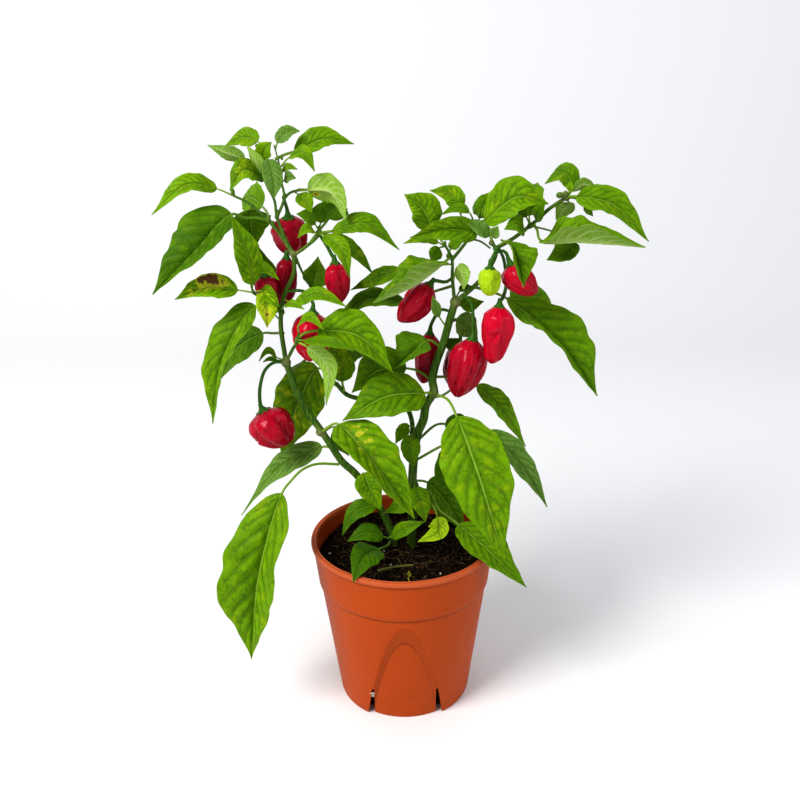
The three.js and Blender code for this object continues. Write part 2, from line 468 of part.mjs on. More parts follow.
const RIGHT_LEAVES = [
  ["leaf_left_11", [[-50, 272, 13], [-57, 281, 18]], [-63, 284, 21], [-82, 250, 28],
    [-95, 209, 30], 38, 15, 10, "olive"],
  ["leaf_left_12", [[-44, 266, 14.5]], [-45, 273, 18], [-45, 289, 22], [-56, 304, 27],
    18, 15, 10, "olive"],
  ["leaf_mid_01", [[26, 263, 2]], [18, 263, -8], [-12, 260, -19], [-46, 241, -19], 38, 25, 12, "mid"],
  ["leaf_mid_02", [[24, 272, 2], [15, 280, 8]], [4, 283, 11], [-18, 281, 14], [-38, 264, 12],
    34, 25, 10, "dark"],
  ["leaf_mid_03", [[31, 299, 2]], [20, 305, -4], [8, 294, -8], [-6, 283, -11], 34, 40, 35, "dark"],
  ["leaf_mid_04", [[37, 367, 3]], [33, 364, -4], [9, 346, -14], [-20, 334, -16], 36, 66, 56, "olive"],
  ["leaf_mid_05", [[38.5, 346, 2], [22, 341, 17]], [4, 335, 17], [-25, 337, 15], [-49, 318, 10],
    18, 45, 10, "dark"],
  ["leaf_right_01", [[26, 262, 2], [36, 257, -10]], [43, 243, -22], [61, 192, -44],
    [84, 114, -54], 53, 8, 8, "bright", 0, 0.43],
  ["leaf_right_02", [[9, 181, 5], [20, 180, 2], [29, 163, -8], [37, 156, -14]], [45, 149, -20],
    [72, 122, -36], [103, 88.5, -46], 34, 35, 20, "mid"],
  ["leaf_right_03", [[9, 189, 5]], [20, 187, 15], [36, 168, 17], [50, 142, 15], 30, 30, 10, "dark"],
  ["leaf_right_04", [[54, 345, -1.5], [65, 342, 8]], [79, 336, 10], [117, 303, 2], [151, 258.5, -4],
    45, 45, 38, "mid", 0, 0.5],
  ["leaf_right_05", [[26, 276, 2], [40, 275, 14]], [58, 268, 18], [78, 248, 16], [97.5, 217, 12],
    20, 45, 15, "mid"],
  ["leaf_right_06", [[10, 206, 5], [32, 219, 3], [52, 228, 1]], [66, 228, 0], [94, 201, -2],
    [117, 163.5, -6], 26, 45, 20, "grey"],
  ["leaf_right_07", [[12, 223, 5], [26, 236, 8]], [34, 237, 15], [48, 230, 25], [62, 212, 29],
    22, 25, 10, "dark"],
  ["leaf_right_08", [[55, 392, 4]], [61, 393, 3], [84, 409, -5], [106.5, 404, -7], 30, 30, 15, "bright"],
  ["leaf_right_09", [[96, 390.5, 3], [99, 386, -1]], [102, 378, -6], [132, 377, -16], [178, 372.5, -18],
    36, 68, 58, "light"],
  ["leaf_right_10", [[119, 408.5, 3]], [126, 409, -6], [152, 403, -12], [180, 376.5, -14],
    24, 40, 15, "mid"],
  ["leaf_right_11", [[72, 375, -2]], [79, 378, -14], [85, 362, -28], [91, 344, -32], 30, 45, 40, "mid"],
  // Behind the right stem
  ["leaf_back_05", [[-20, 257.5, 19], [-20, 261, 30]], [-18, 264, 42], [-16, 271, 68],
    [-14, 275, 96], 32, 0, 12, "mid"],
  ["leaf_back_06", [[8, 174, 4], [19, 178, 22]], [29, 184, 34], [50, 206, 62],
    [66, 205, 92], 34, 10, 12, "dark"],
  ["leaf_back_07", [[64, 357, -2], [75, 352, 22]], [82, 345, 34], [100, 328, 56],
    [118, 305, 76], 26, 20, 12, "mid"],
  ["leaf_back_08", [[23, 259, 3], [32, 261, 24]], [40, 267, 44], [47, 277, 74],
    [52, 284, 102], 24, 0, 12, "dark"],
  ["leaf_back_09", [[101, 394.5, 3], [99, 398, 18]], [96, 401, 30], [90, 408, 56],
    [86, 410, 82], 26, 10, 12, "mid"],
  // Upper middle cluster
  ["", [[33, 376, 4]], [24, 387, 6], [16, 403, 8], [4, 412, 6], 24, 20, 15, "bright"],
  ["", [[50, 381, 4]], [43, 400, 6], [37, 411, 8], [22, 414.5, 8], 15, 20, 15, "bright"],
  ["", [[54, 391, 4]], [50, 399, 2], [42, 402, 0], [30, 397.5, -2], 8, 35, 10, "mid"],
  ["", [[50, 381, 4]], [56, 384, -3], [34, 387, -9], [7.5, 381.5, -12], 20, 5, 32, "mid"],
  ["", [[33, 375, 4]], [28, 378, 0], [17, 381, -4], [3, 377.5, -6], 8, 30, 10, "bright"],
  ["", [[33, 375, 4]], [29, 374, 7], [26, 369, 9], [23, 363, 10], 10, 15, 10, "dark"],
  ["", [[36, 369, 3]], [37, 373, 6], [41, 377, 8], [47, 379.5, 10], 8, 25, 10, "mid"],
  ["", [[66.5, 378, -2]], [65, 382, -4], [57, 388, -6], [47, 393, -8], 10, 20, 10, "grey"],
  ["", [[66.5, 378, -2]], [67, 381, -5], [69, 385, -7], [71, 389, -8], 8, 20, 10, "grey"],
  ["", [[55, 392, 4]], [58, 395, 8], [61, 404, 11], [72, 415, 13], 14, 15, 10, "dark"],
  ["", [[94, 389, 3]], [91, 395, 6], [87, 401, 8], [80, 401, 10], 9, 20, 10, "olive"],
  ["", [[94, 389, 3]], [93, 396, 0], [95, 401, -2], [90, 406, -4], 9, 20, 10, "olive"],
  ["", [[92, 387.5, 3]], [90, 385, -7], [84, 390, -13], [75.5, 386.5, -15], 14, 20, 12, "mid"],
  ["", [[119, 408.5, 3]], [122, 414, 4], [117, 425, 7], [103, 418, 10], 15, 20, 12, "mid"],
  ["", [[119, 408.5, 3]], [123, 413, 4], [131, 417, 6], [141, 411, 8], 10, 145, 10, "pale"],
  ["", [[119, 408.5, 3]], [120.5, 413, 0], [121, 416, -1], [121, 420, -1], 4, 10, 10, "pale"],
  ["", [[97, 391.5, 3]], [98, 393, -6], [100, 399, -17], [104, 405, -21], 9, 20, 10, "dark"],
  ["", [[117, 407, 3]], [121, 405, 6], [117, 399, 9], [112, 393, 10], 14, 150, 10, "grey"],
  ["", [[119, 408.5, 3], [127, 407, 4]], [132, 403, 6], [135, 399, 7], [138.5, 395, 8], 5, 20, 8, "mid"],
  ["", [[94, 389, 3], [112, 384, 10]], [126, 377, 10], [118, 369, 8], [107, 364, 6], 17, 20, 10, "dark"],
  // Small leaves under the fork
  ["", [[39, 348, 2]], [42, 360, -2], [46, 353, -6], [47, 343, -8], 12, 150, 10, "pale"],
  ["", [[41, 336, 0]], [44, 342, 4], [48, 345, 6], [53, 345.5, 8], 5, 20, 8, "mid"],
  ["", [[41, 333, 0]], [45, 331, 7], [52, 332, 10], [62, 334, 13], 12, 20, 10, "mid"],
  ["", [[37, 321, 1]], [42, 321, 6], [50, 315, 11], [58, 305, 14], 18, 15, 10, "grey"],
  ["", [[32, 301, 2]], [34, 300, 6], [39, 302, 8], [46, 306, 10], 9, 10, 8, "dark"],
  ["", [[35, 314, 1.5]], [29, 323, -9], [26, 331, -14], [24, 339, -15], 7, 20, 10, "grey"],
  ["", [[39, 362, 3], [20, 361, 4]], [2, 358, 6], [-17, 352, 8], [-36, 344, 12], 14, 35, 10, "olive"],
  // Small leaves on the lower stem
  ["", [[9, 184, 4]], [10, 183, -2], [15, 168, -10], [18.5, 151, -14], 16, 15, 12, "bright"],
  ["", [[9, 176, 4]], [10, 175, 0], [-1, 167, -6], [-15, 160.5, -9], 15, 15, 10, "olive"],
  ["", [[12, 227, 4]], [7, 228, -2], [7, 214, -6], [9, 200, -8], 15, 10, 10, "mid"],
  ["", [[13, 232, 4]], [6, 236, 5], [0, 230, 4], [-5, 221, 2], 10, 15, 10, "olive"],
  ["", [[9, 178, 4], [24, 167, -8]], [28, 156, -16], [29, 143, -22], [12, 133, -26], 17, 15, 15, "lime"],
];

// The share of its full width that a blade has at t, from 0 at its base to 1 at its tip.
function widthAt(t, widest) {
  const swell = Math.sin(Math.PI * t ** (Math.log(0.5) / Math.log(widest)));
  return Math.max(swell, 0) ** (t < widest ? BASE_ROUNDNESS : TIP_SHARPNESS);
}

// One leaf, stalk and blade in one skin: each ring has three points on the upper face and three
// on the lower.
function leafSolid(row, order) {
  const [name, stem, base, middle, tip, width, roll, fold, , twist = 0, widest = WIDEST_AT] = row;
  const large = name !== "";
  const scale = (middle[2] - EYE.y) / -EYE.y;
  const stalkPoints = stem.map(seen);
  const bladePoints = [base, middle, tip].map(seen);
  const curve = new THREE.CatmullRomCurve3([...stalkPoints, ...bladePoints], false, "centripetal");
  const spans = stem.length + 2;
  const bladeStart = stem.length / spans;

  const middleTangent = curve.getTangent((stem.length + 1) / spans);
  const view = bladePoints[1].clone().sub(EYE).normalize();
  const across = new THREE.Vector3().crossVectors(middleTangent, view).normalize();
  const toSky = middleTangent.x < 0 ? 1 : -1;
  across.applyAxisAngle(middleTangent, toSky * THREE.MathUtils.degToRad(roll));
  const upright = new THREE.Vector3().crossVectors(middleTangent, across);
  const facing = Math.sign(-upright.dot(view)) * (Math.abs(roll) > 90 ? -1 : 1);

  const length = bladePoints[0].distanceTo(bladePoints[1]) + bladePoints[1].distanceTo(bladePoints[2]);
  const bladeSteps = THREE.MathUtils.clamp(Math.round(length / BLADE_STEP), 2, MOST_BLADE_STEPS);
  const stalkSteps = large && stem.length < 3 ? stem.length + 1 : stem.length;
  const stalkRadius = large ? LARGE_STALK_RADIUS : SMALL_STALK_RADIUS;

  const stations = [];
  for (let step = 0; step < stalkSteps; step += 1) {
    stations.push([bladeStart * (step / stalkSteps), -1]);
  }
  for (let step = 0; step <= bladeSteps; step += 1) {
    const t = step / bladeSteps;
    stations.push([bladeStart + (1 - bladeStart) * t, t]);
  }
  const rings = stations.map(([along, t]) => {
    const centre = curve.getPoint(along);
    const tangent = curve.getTangent(along);
    const side = across.clone().addScaledVector(tangent, -across.dot(tangent)).normalize();
    if (t >= 0) side.applyAxisAngle(tangent, THREE.MathUtils.degToRad(twist) * (t - 0.5));
    const upward = new THREE.Vector3().crossVectors(tangent, side).multiplyScalar(facing);
    if (t < 0) return leafRing(centre, side, upward, stalkRadius, 0, stalkRadius, 0.5 * stalkRadius, 0, 0);
    const swell = widthAt(t, widest);
    const half = 0.5 * width * scale * swell + 0.9 * stalkRadius * (1 - t) + 0.3 * t;
    const wave = WAVE_SHARE * width * swell;
    const rib = MIDRIB_HALF_THICKNESS * (1 - 0.35 * t);
    return leafRing(centre, side, upward, half, THREE.MathUtils.degToRad(fold) * Math.min(1, 3 * t),
      t === 0 ? stalkRadius : rib, BLADE_HALF_THICKNESS,
      wave * Math.sin(9 * t + order), wave * Math.cos(8 * t + 2 * order));
  });
  const flat = !large && width <= PLAIN_WIDTH && fold <= PLAIN_FOLD;
  return flat ? loft(rings.map((ring) => [ring[0], ring[2], ring[3], ring[5]]), 2) : loft(rings, 3);
}

function leafRing(centre, side, upward, half, fold, ribHalf, edgeHalf, leftWave, rightWave) {
  const edge = (sign, wave) => centre.clone()
    .addScaledVector(side, sign * half * Math.cos(fold))
    .addScaledVector(upward, half * Math.sin(fold) + wave);
  const faceNormal = (sign) => upward.clone().multiplyScalar(Math.cos(fold))
    .addScaledVector(side, -sign * Math.sin(fold));
  const left = edge(-1, leftWave);
  const right = edge(1, rightWave);
  return [
    left.clone().addScaledVector(faceNormal(-1), edgeHalf),
    centre.clone().addScaledVector(upward, ribHalf),
    right.clone().addScaledVector(faceNormal(1), edgeHalf),
    right.clone().addScaledVector(faceNormal(1), -edgeHalf),
    centre.clone().addScaledVector(upward, -ribHalf),
    left.clone().addScaledVector(faceNormal(-1), -edgeHalf),
  ];
}

// Peppers. A row gives the node's name, the readings of the shoulder's centre and of the tip, the
// width, the number of lobes, the profile, the tone, and the readings of its stalk from the stem.

const PROFILES = {
  lantern: [0.2, 0.82, 1, 0.96, 0.8, 0.54, 0.26, 0.07],
  round: [0.2, 0.86, 1, 0.98, 0.85, 0.64, 0.4, 0.16],
  waisted: [0.2, 0.88, 1, 0.88, 0.72, 0.6, 0.3, 0.07],
  slim: [0.2, 0.82, 0.98, 1, 0.9, 0.66, 0.36, 0.08],
};

const PEPPERS = [
  ["pepper_left_1", [-79, 397, 21], [-77, 371, 30], 26, 4, "round", "red",
    [[-81, 411, 0], [-81, 409, 10], [-79.5, 403, 19]]],
  ["pepper_left_2", [-82, 368, 14], [-85.5, 333.5, 14], 18, 3, "slim", "red",
    [[-77, 369, 2], [-79, 373, 8], [-81, 372.5, 13]]],
  ["pepper_left_3", [-99, 355, 3], [-98, 337, 3], 17, 3, "round", "red",
    [[-109, 352, -10], [-107, 362, -4], [-101, 363, 2]]],
  ["pepper_left_4", [-47, 364, 0], [-44, 334, 0], 20, 3, "lantern", "red",
    [[-57.5, 385, 1], [-52, 376, 0], [-48.5, 369, 0]]],
  ["pepper_left_5", [-65, 327, 2], [-69, 290, 2], 30, 4, "lantern", "red",
    [[-84, 344, 0], [-70, 343, 3], [-64, 333, 2]]],
  ["pepper_left_6", [-107, 250, -4], [-94, 220, -6], 34, 4, "round", "red",
    [[-87, 289, -2], [-96, 289, -3], [-103, 283.5, -4], [-107.7, 271, -4], [-109, 260, -4]]],
  ["pepper_right_1", [22, 347, 1], [1.5, 318, -1], 23, 3, "lantern", "red",
    [[38.5, 352, 2], [34, 349, 2], [27, 350, 1]]],
  ["pepper_right_2", [81, 361, -8], [93, 336, -10], 23, 3, "round", "red",
    [[70, 370, -2], [76, 371, -4], [79, 366, -5]]],
  ["pepper_right_3", [66, 359, -17], [65, 338.5, -17], 17, 3, "round", "green",
    [[69, 373, -2], [71, 374, -11], [67, 365, -17]]],
  ["pepper_right_4", [73.5, 330, -13], [70.5, 286, -14.5], 26, 3, "waisted", "red",
    [[72, 373, -2], [76, 364, 8], [78, 348, 9], [76, 337, -7]]],
  ["pepper_right_5", [54, 305, -2], [46, 259, -2], 29, 4, "lantern", "red",
    [[47, 339, -1], [52.5, 333, -3], [54.5, 318, -3], [54.5, 310, -2]]],
  ["pepper_right_6", [44, 300, 29], [38, 268, 29], 20, 3, "lantern", "red",
    [[36, 318, 1], [42, 320, 14], [45, 308, 28]]],
  ["pepper_right_7", [22, 310, 18], [18, 271, 18], 20, 3, "slim", "red",
    [[37, 327, 1], [30, 328, 10], [23, 317, 18]]],
];

// The share of the pepper's length at which a ring of its profile lies, closer together at the top.
function lengthShare(index) {
  return Math.sin((0.5 * Math.PI * index) / (PROFILES.lantern.length - 1)) ** 1.25;
}

function pepperSolid([, shoulder, tip, width, lobes, profileName]) {
  const start = seen(shoulder);
  const end = seen(tip);
  const scale = (shoulder[2] - EYE.y) / -EYE.y;
  const axis = end.clone().sub(start);
  const length = axis.length();
  axis.normalize();
  const side = new THREE.Vector3(1, 0, 0).addScaledVector(axis, -axis.x).normalize();
  const depth = new THREE.Vector3().crossVectors(axis, side);
  const profile = PROFILES[profileName];
  const sides = 4 * lobes;
  const rings = profile.map((part, index) => {
    const along = lengthShare(index);
    const rise = index === 0 ? -TOP_RISE : 0;
    const centre = start.clone().addScaledVector(axis, along * length + rise);
    const radii = Array.from({ length: sides }, (_, place) => {
      const angle = (2 * Math.PI * place) / sides;
      const lobe = LOBE_MEAN + LOBE_DEPTH * Math.cos(lobes * angle + LOBE_TWIST * index);
      return 0.5 * width * scale * part * lobe;
    });
    return ringAround(centre, side, depth, radii);
  });
  return loft(rings);
}

// The cap is a flat-sided ring. Its sides lie closer in than its corners, so that its corners
// reach out by this much more.
const CAP_REACH = 1.02 / Math.cos(Math.PI / CAP_SIDES);

// The green cap that lies on the pepper's shoulders, and the stalk up to the stem. Its underside
// follows the pepper's first slope and stays clear of it.
function calyxSolid([, shoulder, tip, width, , profileName, , stem]) {
  const start = seen(shoulder);
  const end = seen(tip);
  const half = 0.5 * width * ((shoulder[2] - EYE.y) / -EYE.y);
  const axis = end.clone().sub(start);
  const slopeDepth = axis.length() * lengthShare(1);
  axis.normalize();
  const side = new THREE.Vector3(1, 0, 0).addScaledVector(axis, -axis.x).normalize();
  const depth = new THREE.Vector3().crossVectors(axis, side);
  const [first, second] = PROFILES[profileName].map((part) => part * half * CAP_REACH);
  const skinAt = (level) => THREE.MathUtils.mapLinear(level, -TOP_RISE, slopeDepth, first, second);
  // Each level of the cap is its height along the axis and its radius.
  const levels = [
    [-6, 1.4],
    [-2.8, 0.4 * first + 1.2],
    [-0.5, skinAt(-0.5) + 1.3],
    [0.6, skinAt(0.6) + 0.9],
    [-TOP_RISE - 0.4, first + 0.4],
  ];
  const cap = loft(levels.map(([height, radius]) => ringAround(
    start.clone().addScaledVector(axis, height), side, depth, new Array(CAP_SIDES).fill(radius))));
  const points = [...stem.map(seen), start.clone().addScaledVector(axis, -4)];
  return cap.add(stalk(points, PEDICEL_START, PEDICEL_END, stem.length + 1, 4));
}

// Assembly

const plant = new THREE.Group();

function addPiece(name, solid, tone, roughness) {
  const material = new THREE.MeshStandardMaterial({ color: COLOURS[tone], roughness, metalness: 0 });
  const mesh = new THREE.Mesh(geometryOf(solid), material);
  mesh.name = name;
  plant.add(mesh);
}

addPiece("pot", makePot(), "pot", 0.55);
addPiece("soil", makeSoil(), "soil", 0.95);
addPiece("twig", makeTwig(), "twig", 0.8);

const PEPPER_SIDES = { left: "pepper_left", right: "pepper_right" };

function addStem(side, paths, leaves) {
  const foot = STEM_FEET[side];
  const core = fuse(paths.map((path) => pathSolid(path, foot)));
  const knots = KNOTS[side].map(([place, radius]) => knot(place, radius));
  const buds = BUDS[side].map(([place, radius, height]) => knot(place, radius, height));
  const around = fuse(paths.map((path) => pathSolid(path, foot, CLEAR)));
  const grownKnots = KNOTS[side].map(([place, radius]) => knot(place, radius + CLEAR));
  const keepOut = fuse([around, ...grownKnots]);
  const fused = [core, ...knots, ...buds];
  leaves.forEach((row, order) => {
    const leaf = leafSolid(row, order);
    if (row[0] === "") fused.push(leaf);
    else addPiece(row[0], largestPiece(leaf.subtract(keepOut)), row[8], 0.5);
  });
  for (const row of PEPPERS.filter((pepper) => pepper[0].startsWith(PEPPER_SIDES[side]))) {
    fused.push(calyxSolid(row));
    addPiece(row[0], pepperSolid(row), row[6], 0.3);
  }
  addPiece(`stem_${side}`, largestPiece(fuse(fused)), "stem", 0.6);
}

addStem("left", LEFT_PATHS, LEFT_LEAVES);
addStem("right", RIGHT_PATHS, RIGHT_LEAVES);

export default plant;
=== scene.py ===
# %% [markdown]
# A chilli pepper plant grows in a round plastic nursery pot. Its frame, with every piece in its
# place and at its real size, comes from the packed model. This notebook gives each piece its
# fine shape and its finish: quilted leaves with veins, lobed glossy fruits, knotty stems, crumbly
# soil and dusty plastic with painted shade in its lines and a painted highlight on its rim.
# Everything is in metres, +Z up, with the pot's underside at the origin.

# %% Load the frame
import math
import random
from collections import namedtuple
import bpy
import bmesh
from mathutils import Matrix, Vector, noise


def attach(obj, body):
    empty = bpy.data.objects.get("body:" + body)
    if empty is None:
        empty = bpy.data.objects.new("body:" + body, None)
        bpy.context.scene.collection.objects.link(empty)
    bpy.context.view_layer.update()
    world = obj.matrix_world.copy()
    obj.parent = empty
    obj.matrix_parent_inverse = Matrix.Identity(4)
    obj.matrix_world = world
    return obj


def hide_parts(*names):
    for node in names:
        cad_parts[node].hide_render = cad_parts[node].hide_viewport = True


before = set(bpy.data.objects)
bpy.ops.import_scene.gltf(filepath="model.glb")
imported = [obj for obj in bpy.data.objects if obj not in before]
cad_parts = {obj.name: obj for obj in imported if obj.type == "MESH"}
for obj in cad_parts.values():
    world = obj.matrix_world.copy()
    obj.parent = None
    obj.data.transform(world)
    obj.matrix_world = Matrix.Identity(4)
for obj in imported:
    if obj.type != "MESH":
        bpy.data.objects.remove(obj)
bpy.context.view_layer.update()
MM = 0.001
draw = random.Random(20)
print("nodes in the frame:", len(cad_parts))

# %% [markdown]
# The plant is read from the front. A place is (x, z, y): x and z as they stand on the upright
# plane through the pot's axis, and y the depth behind it. seen() turns such a reading into a
# point, along the line of sight from the eye. The same eye carries the camera, so each leaf
# lands where the real one is seen, while its depth stays free.

# %% Eye and readings
EYE = Vector((-1, -596, 473)) * MM


def depth_scale(depth):
    return (depth - EYE.y) / -EYE.y


def seen(reading):
    x, z, y = (value * MM for value in reading)
    reach = depth_scale(y)
    return Vector((EYE.x + (x - EYE.x) * reach, y, EYE.z + (z - EYE.z) * reach))


print("eye at", tuple(round(value, 3) for value in EYE))

# %% [markdown]
# The camera stands at the eye and looks a little down on the plant, as the picture was taken,
# with a fairly wide lens. The slight roll is the photographer's hand. The picture has the strong,
# clear colours of a phone camera, so the plain Standard view with a little more contrast is
# chosen here: Blender's default view would soften them.

# %% Camera
LENS, SENSOR = 37.0, 36.0
LOOK_DOWN, ROLL = 19.88, -0.77
scene = bpy.context.scene
camera = bpy.data.objects.new("camera", bpy.data.cameras.new("camera"))
camera.data.lens = LENS
camera.data.sensor_width = SENSOR
tilt = Matrix.Rotation(math.radians(90 - LOOK_DOWN), 4, "X")
roll = Matrix.Rotation(math.radians(ROLL), 4, "Z")
camera.matrix_world = Matrix.Translation(EYE) @ tilt @ roll
scene.collection.objects.link(camera)
scene.camera = camera
scene.view_settings.view_transform = "Standard"
scene.view_settings.look = "Medium High Contrast"
print("lens", LENS, "mm")

# %% [markdown]
# Every organic piece here is one skin: points, faces, a finish for each face, a flat map that
# runs across and along a leaf, a tone that tells the finish how light (partly painted light and
# shade), how yellow and how much painted grey sheen this leaf has, and a mark at each point:
# blight on a leaf, scars on a stem, painted shade on the pot. A small class collects them,
# because a numbered list of points is the plainest way to make curved surfaces by formula.

# %% A skin of points and faces
PLAIN_TONE = (0.5, 0.5, 0.5)


class Skin:
    def __init__(self):
        self.points = []
        self.faces = []
        self.finish = []
        self.flat = []
        self.tone = []
        self.mark = []

    def add_point(self, point, flat=(0.5, 0.5), tone=PLAIN_TONE, mark=0.0):
        self.points.append(tuple(point))
        self.flat.append(flat)
        self.tone.append((*tone, 1.0))
        self.mark.append(mark)
        return len(self.points) - 1

    def add_face(self, corners, finish=0):
        self.faces.append(tuple(corners))
        self.finish.append(finish)

    def add_ring(self, ring, tone=PLAIN_TONE, along=0.0):
        count = len(ring)
        return [self.add_point(point, (place / count, along), tone) for place, point in enumerate(ring)]

    def bridge(self, lower, upper, finish=0, closed=True):
        count = len(lower)
        for place in range(count if closed else count - 1):
            after = (place + 1) % count
            self.add_face((lower[place], lower[after], upper[after], upper[place]), finish)

    def split_bridge(self, lower, upper, finish):
        for place in range(len(lower) - 1):
            self.add_face((lower[place], lower[place + 1], upper[place + 1]), finish)
            self.add_face((lower[place], upper[place + 1], upper[place]), finish)

    def close(self, rings, finish=0):
        for lower, upper in zip(rings, rings[1:]):
            self.bridge(lower, upper, finish)
        self.add_face(rings[0], finish)
        self.add_face(rings[-1], finish)

    def add_ball(self, detail, moved):
        ball = bmesh.new()
        bmesh.ops.create_icosphere(ball, subdivisions=detail, radius=1.0)
        corners = [self.add_point(moved(vert.co)) for vert in ball.verts]
        for face in ball.faces:
            self.add_face([corners[vert.index] for vert in face.verts])
        ball.free()


print("a skin holds:", ", ".join(vars(Skin())))

# %% [markdown]
# A skin becomes a Blender mesh with its finishes, its flat map and its tones and marks as
# attributes, which the finishes read. A piece of the plant then rides on the frame's one body.
# The faces are turned outward at the end, because a formula may list their corners either way
# round.

# %% Pieces from skins


def make_object(name, skin, finishes, smooth=True):
    mesh = bpy.data.meshes.new(name)
    mesh.from_pydata(skin.points, [], skin.faces)
    mesh.polygons.foreach_set("material_index", skin.finish)
    mesh.polygons.foreach_set("use_smooth", [smooth] * len(skin.faces))
    flat = mesh.uv_layers.new(name="blade")
    for loop in mesh.loops:
        flat.uv[loop.index].vector = skin.flat[loop.vertex_index]
    tone = mesh.color_attributes.new("tone", "FLOAT_COLOR", "POINT")
    tone.data.foreach_set("color", [value for row in skin.tone for value in row])
    mark = mesh.attributes.new("mark", "FLOAT", "POINT")
    mark.data.foreach_set("value", skin.mark)
    for finish in finishes:
        mesh.materials.append(finish)
    made = bpy.data.objects.new(name, mesh)
    scene.collection.objects.link(made)
    return made


def turn_outward(piece):
    shape = bmesh.new()
    shape.from_mesh(piece.data)
    bmesh.ops.recalc_face_normals(shape, faces=shape.faces)
    shape.to_mesh(piece.data)
    shape.free()


def make_piece(name, skin, finishes, slot, smooth=True):
    piece = make_object(name, skin, finishes, smooth)
    turn_outward(piece)
    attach(piece, "root")
    print(name, "faces:", len(skin.faces))
    return piece


def apply_modifiers(piece):
    graph = bpy.context.evaluated_depsgraph_get()
    finished = bpy.data.meshes.new_from_object(piece.evaluated_get(graph))
    piece.modifiers.clear()
    piece.data = finished


# %% [markdown]
# Stems, leaf stalks and midribs all follow one smooth curve through a few chosen points. A
# centripetal Catmull-Rom curve passes through each of them without loops, which a Bezier curve
# would need handles for. A tube is a row of rings along such a curve. Each ring turns as little
# as it can from the one before, so that the tube does not twist.

# %% Smooth curves


def smooth_point(points, along):
    spans = len(points) - 1
    place = min(max(along, 0.0) * spans, spans - 1e-6)
    first = int(place)
    part = place - first
    p1, p2 = points[first], points[first + 1]
    p0 = points[first - 1] if first > 0 else 2 * p1 - p2
    p3 = points[first + 2] if first + 2 <= spans else 2 * p2 - p1
    d0, d1, d2 = (math.sqrt((b - a).length) for a, b in ((p0, p1), (p1, p2), (p2, p3)))
    m1 = ((p1 - p0) / d0 - (p2 - p0) / (d0 + d1) + (p2 - p1) / d1) * d1
    m2 = ((p2 - p1) / d1 - (p3 - p1) / (d1 + d2) + (p3 - p2) / d2) * d1
    bend = 3 * (p2 - p1) - 2 * m1 - m2
    return p1 + m1 * part + bend * part ** 2 + (2 * (p1 - p2) + m1 + m2) * part ** 3


def heading(points, along):
    step = 1e-4
    return (smooth_point(points, along + step) - smooth_point(points, along - step)).normalized()


def angles_round(count):
    return [math.tau * place / count for place in range(count)]


def ring_round(centre, side, up, radii):
    turns = zip(radii, angles_round(len(radii)))
    return [centre + radius * (side * math.cos(angle) + up * math.sin(angle)) for radius, angle in turns]


def add_tube(skin, points, first_radius, last_radius, finish=0, tone=PLAIN_TONE, spacing=2.2 * MM, sides=10):
    length = sum((b - a).length for a, b in zip(points, points[1:]))
    steps = max(3, round(length / spacing))
    side = heading(points, 0).orthogonal().normalized()
    rings = []
    for step in range(steps + 1):
        along = step / steps
        ahead = heading(points, min(max(along, 0.001), 0.999))
        side = (side - ahead * side.dot(ahead)).normalized()
        radius = first_radius + (last_radius - first_radius) * along
        ring = ring_round(smooth_point(points, along), side, ahead.cross(side), [radius] * sides)
        rings.append(skin.add_ring(ring, tone, along))
    skin.close(rings, finish)


bow = [Vector((0, 0, 0)), Vector((0, 0, 1)), Vector((1, 0, 2))]
print("half way along a bow:", [round(value, 2) for value in smooth_point(bow, 0.5)])

# %% [markdown]
# A finish is a material built from shader nodes, so that it needs no picture and stays sharp at
# any size. This small class keeps each one readable: node() adds a node with its settings and
# inputs, calc() does arithmetic, line() multiplies and adds, ramp() is a soft step, mottle() is
# noise at a given size, and paint() lays a colour over those before it, as thickly as the product
# of the shares that follow it.

# %% A finish


